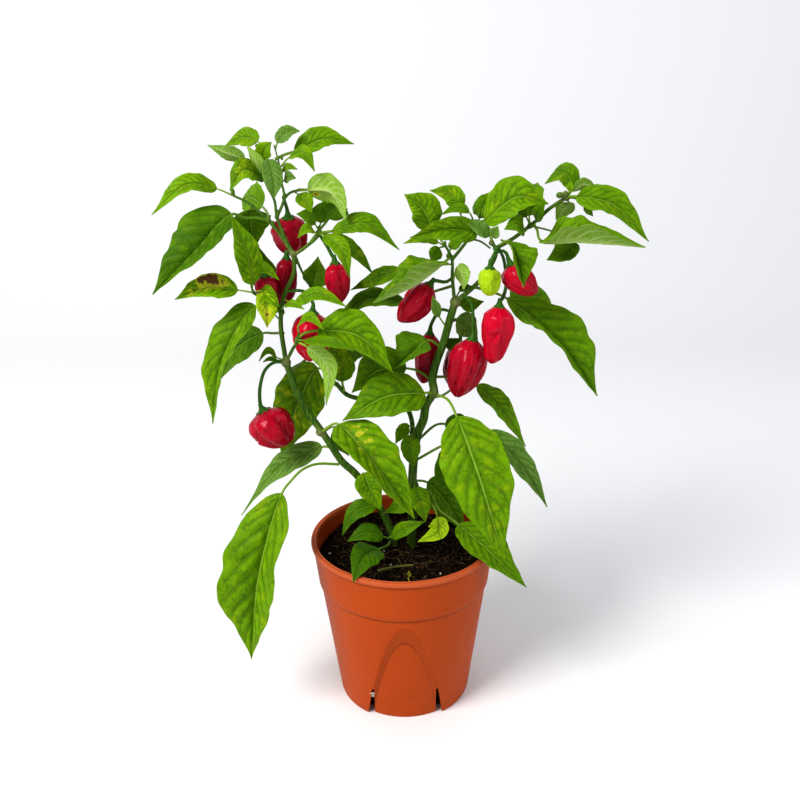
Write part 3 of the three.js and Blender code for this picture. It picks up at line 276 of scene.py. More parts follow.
class Finish:
    def __init__(self, name, **sockets):
        self.material = bpy.data.materials.new(name)
        self.material.use_nodes = True
        self.tree = self.material.node_tree
        self.shader = self.tree.nodes["Principled BSDF"].inputs
        for key, value in sockets.items():
            self.shader[key.replace("_", " ")].default_value = value

    def set_input(self, socket, value):
        if isinstance(value, bpy.types.NodeSocket):
            self.tree.links.new(value, socket)
        elif socket.type == "RGBA":
            socket.default_value = (*value, 1.0)
        else:
            socket.default_value = value

    def node(self, kind, inputs, **settings):
        made = self.tree.nodes.new(kind)
        for key, value in settings.items():
            setattr(made, key, value)
        for key, value in inputs.items():
            self.set_input(made.inputs[key], value)
        return made.outputs

    def calc(self, operation, *values):
        return self.node("ShaderNodeMath", dict(enumerate(values)), operation=operation)[0]

    def times(self, first, *others):
        for other in others:
            first = self.calc("MULTIPLY", first, other)
        return first

    def line(self, value, slope, start):
        return self.calc("MULTIPLY_ADD", value, slope, start)

    def ramp(self, value, low, high):
        inputs = {"Value": value, "From Min": low, "From Max": high}
        return self.node("ShaderNodeMapRange", inputs, interpolation_type="SMOOTHSTEP")[0]

    def place(self):
        return self.node("ShaderNodeTexCoord", {})["Object"]

    def height(self):
        return self.node("ShaderNodeSeparateXYZ", {0: self.place()})[2]

    def mark(self):
        return self.node("ShaderNodeAttribute", {}, attribute_name="mark")["Fac"]

    def tones(self):
        tone = self.node("ShaderNodeAttribute", {}, attribute_name="tone")["Color"]
        return self.node("ShaderNodeSeparateColor", {0: tone})

    def mottle(self, size, detail=3.0, stretch=None):
        place = self.place()
        if stretch:
            place = self.node("ShaderNodeMapping", {"Vector": place, "Scale": stretch})[0]
        return self.node("ShaderNodeTexNoise", {"Vector": place, "Scale": 1 / size, "Detail": detail})["Fac"]

    def mix(self, share, first, second):
        self.colour = self.node("ShaderNodeMix", {0: share, 6: first, 7: second}, data_type="RGBA")[2]

    def paint(self, colour, *shares):
        self.mix(self.times(*shares), self.colour, colour)

    def gloss(self, size, detail, slope, start):
        self.set_input(self.shader["Roughness"], self.line(self.mottle(size, detail), slope, start))

    def bump(self, height, strength, depth):
        inputs = {"Strength": strength, "Distance": depth, "Height": height}
        self.set_input(self.shader["Normal"], self.node("ShaderNodeBump", inputs)[0])

    def done(self):
        self.set_input(self.shader["Base Color"], self.colour)
        print("finish:", self.material.name, "with", len(self.tree.nodes), "nodes")
        return self.material


# %% [markdown]
# A chilli leaf has a pale midrib and nine pairs of side veins that arch toward the tip, with a
# fine net between them. Between the veins the blade puffs up and stays lighter; along them it is
# sunken, and painted shade darkens the sunken valleys and, more faintly, the fine net in deep green.
# The blade's flat map counts the side veins from base to tip, so the finish draws a vein wherever
# the count is a whole number, just where the shape is sunken. The underside is paler and less
# glossy, with the veins standing out.

# %% Veins, net and blight


def flat_places(finish):
    flat = finish.node("ShaderNodeUVMap", {}, uv_map="blade")[0]
    parts = finish.node("ShaderNodeSeparateXYZ", {0: flat})
    return finish.calc("ABSOLUTE", finish.line(parts[0], 2.0, -1.0)), parts[1]


def vein_masks(finish):
    across, count = flat_places(finish)
    # Near is 1 on a side vein and 0 midway between two
    off_middle = finish.calc("SUBTRACT", finish.calc("FRACT", count), 0.5)
    near = finish.times(finish.calc("ABSOLUTE", off_middle), 2.0)
    inner = finish.ramp(across, 0.98, 0.6)
    thin = finish.line(across, 0.04, 0.9)
    vein = finish.times(finish.ramp(near, thin, 1.0), inner)
    midrib = finish.ramp(across, 0.045, 0.015)
    valley = finish.times(finish.ramp(near, 0.45, 0.98), inner)
    valley = finish.calc("MAXIMUM", valley, finish.ramp(across, 0.22, 0.05))
    return vein, midrib, valley


def net_lines(finish, size, width):
    inputs = {"Vector": finish.place(), "Scale": 1 / size}
    cells = finish.node("ShaderNodeTexVoronoi", inputs, feature="DISTANCE_TO_EDGE")
    return finish.ramp(cells[0], width, 0.0)


BLIGHT_YELLOW = (0.50, 0.50, 0.03)
BLIGHT_BROWN = (0.13, 0.055, 0.02)


def paint_blight(finish):
    mark = finish.mark()
    ragged = finish.calc("ADD", mark, finish.line(finish.mottle(5 * MM, 5.0), 1.3, -0.65))
    present = finish.ramp(mark, 0.02, 0.2)
    finish.paint(BLIGHT_YELLOW, finish.ramp(ragged, 0.2, 0.5), present, 0.85)
    finish.paint(BLIGHT_BROWN, finish.ramp(ragged, 0.55, 0.7), present)


print("blight is", BLIGHT_YELLOW, "then", BLIGHT_BROWN)

# %% Upper side of a leaf
LEAF_PAINTED_SHADE = (0.026, 0.085, 0.0005)
LEAF_DARK = (0.058, 0.145, 0.001)
LEAF_LIGHT = (0.20, 0.385, 0.002)
LEAF_YOUNG = (0.42, 0.60, 0.012)
LEAF_PAINTED_SHEEN = (0.15, 0.255, 0.075)
LEAF_GOLD = (0.35, 0.43, 0.004)
LEAF_VEIN = (0.27, 0.43, 0.045)


def leaf_top_finish():
    top = Finish("leaf_top", Roughness=0.4, Specular_IOR_Level=0.08)
    vein, midrib, valley = vein_masks(top)
    net = net_lines(top, 3.6 * MM, 0.3)
    light, yellow, sheen = top.tones()
    # The leaf's own green, cloudy, with golden patches on an old leaf
    cloud = top.line(top.mottle(11 * MM, 4.0), 0.9, -0.45)
    top.mix(top.calc("ADD", light, cloud), LEAF_DARK, LEAF_LIGHT)
    top.paint(LEAF_YOUNG, top.ramp(light, 1.0, 1.3), 0.8)
    top.paint(LEAF_GOLD, top.ramp(top.mottle(8 * MM), 0.5, 0.72), yellow)
    # Painted sheen: a pale grey-green sheen laid over the grey leaves
    top.paint(LEAF_PAINTED_SHEEN, sheen)
    # Painted shade: the sunken valleys and the net are painted deep green; veins and midrib pale
    top.paint(LEAF_PAINTED_SHADE, valley, 0.5)
    top.paint(LEAF_PAINTED_SHADE, net, top.ramp(top.mottle(6 * MM, 2.0), 0.4, 0.7), 0.5)
    top.paint(LEAF_VEIN, vein, 0.25)
    top.paint(LEAF_VEIN, midrib, top.line(light, 0.45, 0.5))
    paint_blight(top)
    # The fine relief between the veins is too small for points
    top.gloss(5 * MM, 2.0, 0.2, 0.42)
    puff = top.line(net, -0.5, 1.0)
    top.bump(top.calc("SUBTRACT", puff, vein), 0.5, 0.45 * MM)
    return top.done()


LEAF_TOP = leaf_top_finish()

# %% Underside and stalk of a leaf
UNDER_DARK = (0.10, 0.21, 0.03)
UNDER_PUFF = (0.17, 0.34, 0.015)
UNDER_LIGHT = (0.23, 0.38, 0.05)
UNDER_VEIN = (0.45, 0.58, 0.20)
STALK_DARK = (0.07, 0.17, 0.006)
STALK_LIGHT = (0.26, 0.40, 0.03)


def leaf_under_finish():
    under = Finish("leaf_under", Roughness=0.62, Specular_IOR_Level=0.06)
    vein, midrib, valley = vein_masks(under)
    raised = under.calc("MAXIMUM", vein, midrib)
    net = net_lines(under, 3.0 * MM, 0.14)
    cloud = under.line(under.mottle(12 * MM), 0.6, -0.3)
    under.mix(under.calc("ADD", under.tones()[0], cloud), UNDER_DARK, UNDER_LIGHT)
    under.paint(UNDER_PUFF, under.line(valley, -0.55, 0.55))
    under.paint(UNDER_VEIN, valley, 0.4)
    under.paint(UNDER_VEIN, net, 0.25)
    under.paint(UNDER_VEIN, raised, 0.85)
    paint_blight(under)
    under.bump(under.calc("MAXIMUM", raised, under.times(net, 0.3)), 0.6, 0.5 * MM)
    return under.done()


def stalk_finish():
    stalk = Finish("leaf_stalk", Roughness=0.4, Specular_IOR_Level=0.2)
    cloud = stalk.line(stalk.mottle(6 * MM), 0.5, -0.25)
    stalk.mix(stalk.calc("ADD", stalk.tones()[0], cloud), STALK_DARK, STALK_LIGHT)
    stalk.bump(stalk.mottle(0.8 * MM, 2.0), 0.25, 0.1 * MM)
    return stalk.done()


LEAF_FINISHES = [LEAF_TOP, leaf_under_finish(), stalk_finish()]

# %% [markdown]
# One leaf is a stalk and a blade on one curve. The blade is a grid of points: across it runs from
# margin to margin, and along it from base to tip. Each little square is split the same way above
# and below, so that the two sides never cross. Its width follows a sine that swells early and
# ends in a drawn-out point.

# %% Outline and veins of a blade
WIDEST_AT = 0.4
# The values of one leaf, of which the last two may be left out
LEAF_VALUES = "name stem base middle tip width roll fold tone twist widest"
Leaf = namedtuple("Leaf", LEAF_VALUES, defaults=(0, WIDEST_AT))
BASE_ROUNDNESS, TIP_SHARPNESS = 0.85, 1.25
VEIN_PAIRS, VEIN_RISE = 9, 0.24
# Keeps the count of veins above nothing at the base, where it falls away to the sides
VEIN_START = 4
# The puffs rise from the midrib to here, and fall by this share toward the margin
PUFF_FROM, PUFF_FALL = 0.18, 0.65
# Steps across one half of a blade, close together at the margin and the midrib
SMOOTH_ACROSS = (-1.0, -0.96, -0.88, -0.78, -0.68, -0.58, -0.48, -0.38, -0.29, -0.2, -0.12, -0.06, -0.03, 0.0)
PLAIN_ACROSS = (-1.0, -0.92, -0.76, -0.56, -0.36, -0.18, -0.06, 0.0)
# A leaf up to this width, in millimetres, has the plain steps
PLAIN_UP_TO = 16


def both_sides(places):
    return [*places, *[-place for place in reversed(places[:-1])]]


def width_at(t, widest):
    swell = max(math.sin(math.pi * t ** (math.log(0.5) / math.log(widest))), 0.0)
    return swell ** (BASE_ROUNDNESS if t < widest else TIP_SHARPNESS)


def vein_count(t, across, order):
    side = abs(across)
    right = 1 if across > 0 else 0
    uneven = 0.02 * math.sin(11 * t + 2.3 * order + 2 * right)
    rise = VEIN_RISE * (0.6 * side + 0.4 * side ** 2)
    return (t - rise + uneven) * VEIN_PAIRS + 0.5 * right + VEIN_START


def quilt_at(count, across):
    side = abs(across)
    puff = math.sin(math.pi * count) ** 2
    return puff * min(1.0, side / PUFF_FROM) * (1.0 - PUFF_FALL * side ** 3)


print("points across a blade:", len(both_sides(SMOOTH_ACROSS)), "or", len(both_sides(PLAIN_ACROSS)))

# %% [markdown]
# A few leaves are blighted: each patch is given by its place along and across the blade, its size
# and its strength. A large leaf is found by its name and a small one by the reading at its base.

# %% Blighted leaves
BLIGHTED = {
    "leaf_left_07": [(0.16, 0.5, 0.16, 0.7)],
    "leaf_left_10": [(0.2, 0.3, 0.18, 0.45), (0.3, -0.2, 0.1, 0.4)],
    "leaf_left_11": [(0.5, 0.3, 0.2, 0.35)],
    (-119, 345, -12): [(0.42, -0.5, 0.34, 1.0), (0.7, 0.3, 0.5, 0.4)],
    (-101, 344, -13): [(0.6, 0.0, 0.5, 0.5), (0.97, 0.0, 0.2, 1.0)],
    (24, 387, 6): [(0.98, 0.0, 0.14, 1.0)],
}


def blight_at(patches, t, across):
    mark = 0.0
    for along, aside, size, strength in patches:
        off = math.hypot(t - along, 0.35 * (across - aside)) / size
        mark = max(mark, strength * (1.0 - off))
    return mark


print("marked leaves:", len(BLIGHTED))

# %% [markdown]
# Across the blade each half lifts by the fold, arches a little and puffs up between the veins,
# while the margin waves and is a little ragged. The midrib lies in a groove above and stands out
# below. The underside is the same row of points, a leaf's thickness lower.

# %% One row of points across a blade
LARGE_STALK, SMALL_STALK = 1.15 * MM, 0.7 * MM
EDGE_HALF, TIP_WIDTH = 0.18 * MM, 0.25 * MM
# The blade starts nearly as wide as its stalk, and its tip is followed up to here
BASE_SHARE, TIP_AT = 0.9, 0.9995
WAVE_SHARE, PUFF_SHARE, ARCH_SHARE = 0.045, 0.042, 0.28
PUCKER, PUCKER_SIZE, PUCKER_FULL_FROM = 0.45 * MM, 4.5 * MM, 12 * MM
GROOVE_SHARE, GROOVE_HALF = 0.45, 0.07
RIB_DEPTH, RIB_HALF = 0.75 * MM, 0.06


def margin_at(t, place, order):
    turn = 2 if place > 0 else 0
    ragged = 1 + 0.03 * math.sin(19 * t + order + turn) + 0.025 * math.sin(37 * t + 3 * order + turn)
    swing = math.sin(9 * t + order) if place < 0 else math.cos(8 * t + 2 * order)
    return ragged, swing + 0.5 * math.sin(26 * t + 5 * order + turn)


def blade_row(leaf, order, t, points, start, across, facing, reach):
    stalk_radius = LARGE_STALK if leaf.name else SMALL_STALK
    patches = BLIGHTED.get(leaf.name or tuple(leaf.base), ())
    along = start + (1 - start) * t
    centre = smooth_point(points, along)
    ahead = heading(points, min(along, TIP_AT))
    side = (across - ahead * across.dot(ahead)).normalized()
    side = Matrix.Rotation(math.radians(leaf.twist) * (t - 0.5), 3, ahead) @ side
    up = ahead.cross(side) * facing
    lift = math.radians(leaf.fold) * min(1.0, 3 * t)
    full = leaf.width * MM * width_at(t, leaf.widest)
    for place in both_sides(SMOOTH_ACROSS if leaf.width > PLAIN_UP_TO else PLAIN_ACROSS):
        out = abs(place)
        ragged, swing = margin_at(t, place, order)
        half = 0.5 * full * reach * ragged + BASE_SHARE * stalk_radius * (1 - t) + TIP_WIDTH * t
        count = vein_count(t, place, order)
        spot = Vector((place * half, t * 0.09, order * 0.01)) / PUCKER_SIZE
        height = half * out * math.sin(lift)
        height += WAVE_SHARE * full * swing * out ** 2
        height += PUFF_SHARE * full * quilt_at(count, place)
        height += PUCKER * noise.noise(spot) * min(1.0, full / PUCKER_FULL_FROM) * (1 - out ** 4)
        height += ARCH_SHARE * half * out * (1 - out) * math.sin(lift + 0.25)
        height -= GROOVE_SHARE * stalk_radius * math.exp(-((place / GROOVE_HALF) ** 2)) * (1 - 0.6 * t)
        rib = RIB_DEPTH * math.exp(-((place / RIB_HALF) ** 2)) * (1 - 0.7 * t) * (1 if leaf.name else 0.5)
        point = centre + side * (half * place * math.cos(lift)) + up * height
        mark = blight_at(patches, t, place)
        yield point + up * EDGE_HALF, point - up * (EDGE_HALF + rib), (0.5 + 0.5 * place, count), mark


print("a leaf is", round(2 * EDGE_HALF / MM, 2), "mm thick")

# %% Skin of one leaf
# How light, how yellow and how much painted grey sheen each tone has. The lightness is partly
# the leaf's own colour and partly painted light and shade: the dark and shade tones stand for
# leaves in shadow.
TONES = {
    "shade": (0.0, 0.0, 0.0),
    "dark": (0.2, 0.05, 0.0),
    "mid": (0.42, 0.2, 0.0),
    "bright": (0.6, 0.35, 0.0),
    "light": (0.68, 0.2, 0.0),
    "pale": (0.9, 0.1, 0.0),
    "lime": (1.4, 0.3, 0.0),
    "olive": (0.48, 0.7, 0.0),
    "grey": (0.5, 0.0, 0.6),
}
# Steps of the golden ratio spread the leaves' slight differences in lightness evenly
GOLDEN_STEP, LIGHTNESS_SPREAD = 0.618, 0.2
STALK_STEPS, STALK_TAPER, STALK_INTO_BLADE = 12, 0.8, 1.02
# The stalk of a large leaf starts this much deeper than its solid, so that no slit of light shows
ROOT_REACH = 1.1 * MM
ROW_SPACING, FEWEST_ROWS, MOST_ROWS = 1.6 * MM, 16, 72
TOP_SIDE, UNDERSIDE, STALK = range(3)


def leaf_frame(leaf):
    points = [seen(reading) for reading in (*leaf.stem, leaf.base, leaf.middle, leaf.tip)]
    spans = len(points) - 1
    start = len(leaf.stem) / spans
    ahead = heading(points, (len(leaf.stem) + 1) / spans)
    view = (points[-2] - EYE).normalized()
    across = ahead.cross(view).normalized()
    to_sky = 1 if ahead.x < 0 else -1
    across = Matrix.Rotation(to_sky * math.radians(leaf.roll), 3, ahead) @ across
    facing = (1 if ahead.cross(across).dot(view) < 0 else -1) * (-1 if abs(leaf.roll) > 90 else 1)
    return points, start, across, facing, depth_scale(leaf.middle[2] * MM)


def close_margin(skin, top, under):
    rim = [(row[0], below[0]) for row, below in zip(top, under)]
    rim += list(zip(top[-1], under[-1]))
    rim += [(row[-1], below[-1]) for row, below in zip(reversed(top), reversed(under))]
    rim += list(zip(reversed(top[0]), reversed(under[0])))
    for (a, b), (c, d) in zip(rim, rim[1:]):
        if a != c:
            skin.add_face((a, c, d, b), UNDERSIDE)


def add_leaf(skin, leaf, order):
    points, start, across, facing, reach = leaf_frame(leaf)
    light, yellow, sheen = TONES[leaf.tone]
    seed = (order * GOLDEN_STEP) % 1.0
    tint = (light + LIGHTNESS_SPREAD * (seed - 0.5), yellow, sheen)
    radius = LARGE_STALK if leaf.name else SMALL_STALK
    ends = start * STALK_INTO_BLADE
    stalk = [smooth_point(points, ends * step / STALK_STEPS) for step in range(STALK_STEPS + 1)]
    if leaf.name:
        stalk.insert(0, points[0] + (points[0] - points[1]).normalized() * ROOT_REACH)
    add_tube(skin, stalk, radius, STALK_TAPER * radius, STALK, tint, sides=8)
    length = (points[-1] - points[-2]).length + (points[-2] - points[-3]).length
    steps = int(min(max(length / ROW_SPACING, FEWEST_ROWS), MOST_ROWS))
    top, under = [], []
    for step in range(steps + 1):
        top.append([])
        under.append([])
        places = blade_row(leaf, order, step / steps, points, start, across, facing, reach)
        for upper, lower, flat, mark in places:
            top[-1].append(skin.add_point(upper, flat, tint, mark))
            under[-1].append(skin.add_point(lower, flat, tint, mark))
    for finish, grid in ((TOP_SIDE, top), (UNDERSIDE, under)):
        for lower, upper in zip(grid, grid[1:]):
            skin.split_bridge(lower, upper, finish)
    close_margin(skin, top, under)


print("tones of leaves:", ", ".join(TONES))

# %% [markdown]
# The leaves are listed one to a row: the name of its own piece, or "" for a small leaf of the
# leafy stem, its stalk from the stem, its base, middle and tip, its width in millimetres, its
# roll away from the eye, the fold of its halves and its tone. A twist may follow, and where along
# the blade it is widest. They were read from the picture, leaf by leaf, but for those behind the
# stems, which are guesses.

# %% Leaves of the left stem
LEFT_LEAVES = [
    ["leaf_left_01", [[-93, 395, 4], [-101, 397, 3], [-110, 397, 1]], [-119, 400, -2], [-147, 374, -14],
     [-182, 342.5, -24], 44, 45, 30, "dark"],
    ["leaf_left_02", [[-88, 329, -2], [-97, 332, -5]], [-107, 333, -7], [-135, 291, -16],
     [-147, 240, -18], 34, 50, 25, "mid"],
    ["leaf_left_03", [[-51, 204, -1], [-67.5, 204.5, -8], [-79, 200, -14], [-89, 190, -20]],
     [-97, 179, -26], [-121, 100, -42], [-133, 20, -48], 64, 33, 33, "bright", 0, 0.48],
    ["leaf_left_04", [[-57, 219, -2]], [-63, 219, 6], [-97, 202, 14], [-131, 160, 16], 20, 40, 8, "grey",
     40],
    ["leaf_left_05", [[-77, 305, -13]], [-70, 301, -19], [-56, 286, -21], [-58, 254, -22], 15, 150, 10,
     "pale"],
    ["leaf_left_06", [[-77, 308, -13], [-71, 312, -16]], [-62, 313.5, -20], [-32, 309, -22],
     [-6, 279.5, -28], 34, 30, 18, "light"],
    ["leaf_left_07", [[-70, 416, 1]], [-64, 416, 0], [-48, 414, -6], [-38, 394, -8], 22, 145, 22, "pale"],
    ["leaf_left_08", [[-57.5, 386, 1]], [-48, 387, -3], [-25, 392, -6], [0, 373, -8], 18, 40, 10, "mid"],
    ["leaf_left_09", [[-84.5, 437.5, 0], [-79, 440, 5]], [-72, 442, 7], [-51, 450, 10],
     [-30.5, 446.5, 10], 18, 40, 15, "mid"],
    ["leaf_left_10", [[-63, 231, -2], [-57, 236, -10]], [-49, 238, -20], [-19, 198, -46],
     [9.5, 154.5, -54], 46, 36, 32, "bright"],
    # Behind the left stem
    ["leaf_back_01", [[-88, 312, -2], [-96, 312, 18]], [-103, 312, 28], [-124, 300, 50], [-137, 277, 70],
     22, 20, 12, "dark"],
    ["leaf_back_02", [[-84, 280, -2], [-72, 291, 20]], [-60, 299, 36], [-38, 303, 62], [-18, 296, 88], 28,
     10, 12, "dark"],
    ["leaf_back_03", [[-93, 397, 4], [-94, 401, 20]], [-97, 405, 34], [-104, 411, 58], [-111, 410, 80],
     22, 10, 12, "mid"],
    ["leaf_back_04", [[-64, 379, 2], [-57, 388, 22]], [-50, 396, 34], [-44, 406, 52], [-40, 402, 76], 20,
     10, 12, "mid"],
    # Far left, upper shoots
    ["", [[-117.5, 413, 6]], [-128, 417.5, 4], [-149, 420.5, -2], [-176, 400, -8], 17, 40, 15, "light"],
    ["", [[-108, 348, -10]], [-107.5, 350, -15], [-111, 374, -24], [-119.5, 400, -27], 20, 20, 12,
     "bright"],
    ["", [[-104, 405.5, 6]], [-105, 403, 9], [-106, 391, 16], [-103, 377, 20], 26, 10, 8, "dark"],
    ["", [[-95, 446, 1]], [-97, 449, 3], [-107, 451.5, 8], [-120, 446, 10], 14, 35, 10, "bright"],
    ["", [[-94, 425, 0], [-101, 431, -2]], [-107, 437, -4], [-119, 441.5, -8], [-132, 447, -8], 11, 150,
     10, "grey"],
    ["", [[-92, 418, 0]], [-95, 423, -4], [-108, 430, -12], [-119, 416, -16], 18, 30, 12, "olive"],
    ["", [[-93, 421, 0]], [-95, 427, -4], [-100, 437, -7], [-105, 447, -6], 10, 145, 20, "pale"],
    ["", [[-96, 432, 1]], [-94.5, 437, 0], [-92.5, 444, -2], [-87.5, 448.5, -3], 11, 10, 10, "bright"],
    ["", [[-85, 444, 1]], [-83.5, 448, 1], [-76, 455, 4], [-67.5, 455.5, 6], 10, 30, 10, "grey"],
    ["", [[-83, 431, 0]], [-76, 438, -3], [-66, 441, -7], [-58.5, 428.5, -11], 11, 30, 10, "bright"],
    ["", [[-82.5, 426, 0]], [-81, 429, -1], [-77, 432, -3], [-70.5, 430, -4], 5, 30, 5, "mid"],
    ["", [[-95.5, 434, 1]], [-91, 437, -5], [-88, 423, -13], [-88.5, 409.5, -15], 14, 15, 12, "grey"],
    ["", [[-82.3, 421, 0]], [-80, 423, -5], [-77, 425, -8], [-72, 424, -10], 8, 20, 10, "grey"],
    ["", [[-57.5, 387, 1]], [-60, 392, -2], [-66, 398, -5], [-73, 399.5, -7], 9, 20, 10, "dark"],
    ["", [[-57, 390, 2]], [-56, 393, 5], [-54, 401, 9], [-43.5, 405.5, 12], 14, 25, 10, "dark"],
    ["", [[-74, 415, 1]], [-71, 413, -4], [-66, 408, -7], [-62, 400, -9], 12, 20, 10, "olive"],
    ["", [[-57.5, 385, 1]], [-54, 384, -6], [-42, 374, -14], [-36.5, 352.5, -17], 13, 20, 12, "bright"],
    ["", [[-57.5, 385, 1]], [-48, 384, 8], [-32, 372, 12], [-19.5, 355.5, 14], 10, 25, 10, "olive"],
    ["", [[-58.5, 384, 1]], [-61, 387, -5], [-66, 389, -10], [-73, 382.5, -12], 8, 25, 10, "bright"],
    ["", [[-66, 347, 10]], [-64.5, 347, 13], [-61, 356, 16], [-59, 369, 18], 18, 10, 8, "dark"],
    ["", [[-89, 322, -2]], [-93, 327, 16], [-98, 355, 36], [-103, 379, 34], 20, 15, 10, "dark"],
    ["", [[-109, 353, -11]], [-107, 357, -10], [-99, 361, -12], [-88, 352, -14], 9, 25, 10, "light"],
    ["", [[-106, 341, -8]], [-104, 342, -11], [-98, 341, -14], [-89, 332, -17], 14, 20, 10, "light"],
    ["", [[-105, 344, -9]], [-101, 344, -13], [-98.5, 331, -17], [-99.5, 316.5, -18], 16, 12, 14, "lime"],
    ["", [[-107.5, 343, -9]], [-119, 345, -12], [-143, 347, -16], [-166, 338.5, -16], 20, 25, 25, "pale"],
    ["", [[-77, 306.5, -13]], [-72, 306, -24], [-52, 304, -41], [-35, 297.5, -46], 9, 30, 10, "mid"],
    ["", [[-76, 312, -14]], [-76, 318, -22], [-67, 324, -32], [-57, 314, -40], 8, 20, 10, "light"],
    ["", [[-86, 338, -1]], [-78, 335, -14], [-60, 341, -18], [-39.5, 331.5, -22], 12, 30, 15, "bright"],
    ["", [[-88, 330, -2]], [-85, 333, -12], [-79, 334, -17], [-71, 330, -20], 6, 30, 10, "light"],
    ["", [[-88, 291, -2]], [-94, 293, -5], [-100, 298, -7], [-107.5, 290, -8], 6, 30, 20, "mid"],
    ["", [[-88, 290, -2]], [-94, 291, -2], [-99, 292, -2], [-104.5, 289.5, -2], 3, 20, 10, "mid"],
    ["", [[-62, 231, -2]], [-52, 236, 6], [-49, 224, 10], [-42, 211, 11], 13, 15, 10, "mid"],
    ["", [[-33, 190, 0]], [-31, 196, -8], [-26, 182, -14], [-17, 162, -18], 22, 15, 12, "bright"],
    # Low shoot in the pot
    ["leaf_low_01", [[-10.5, 134.5, -3], [-13, 130, -15]], [-20, 127, -28], [-33, 119, -52],
     [-42.5, 95.5, -70], 24, 5, 12, "shade"],
    ["", [[-12, 137, -6]], [-16, 138.5, -7], [-31, 142, -10], [-46, 134.5, -14], 16, 25, 12, "shade"],
    ["", [[-12, 137, -6]], [-9, 139, -10], [3, 146, -16], [18, 152, -20], 12, 20, 12, "mid"],
    ["", [[-15, 158, 2]], [-21, 166, 0], [-38, 162, -4], [-50, 140, -10], 15, 20, 12, "shade"],
]
print("left leaves:", len(LEFT_LEAVES))

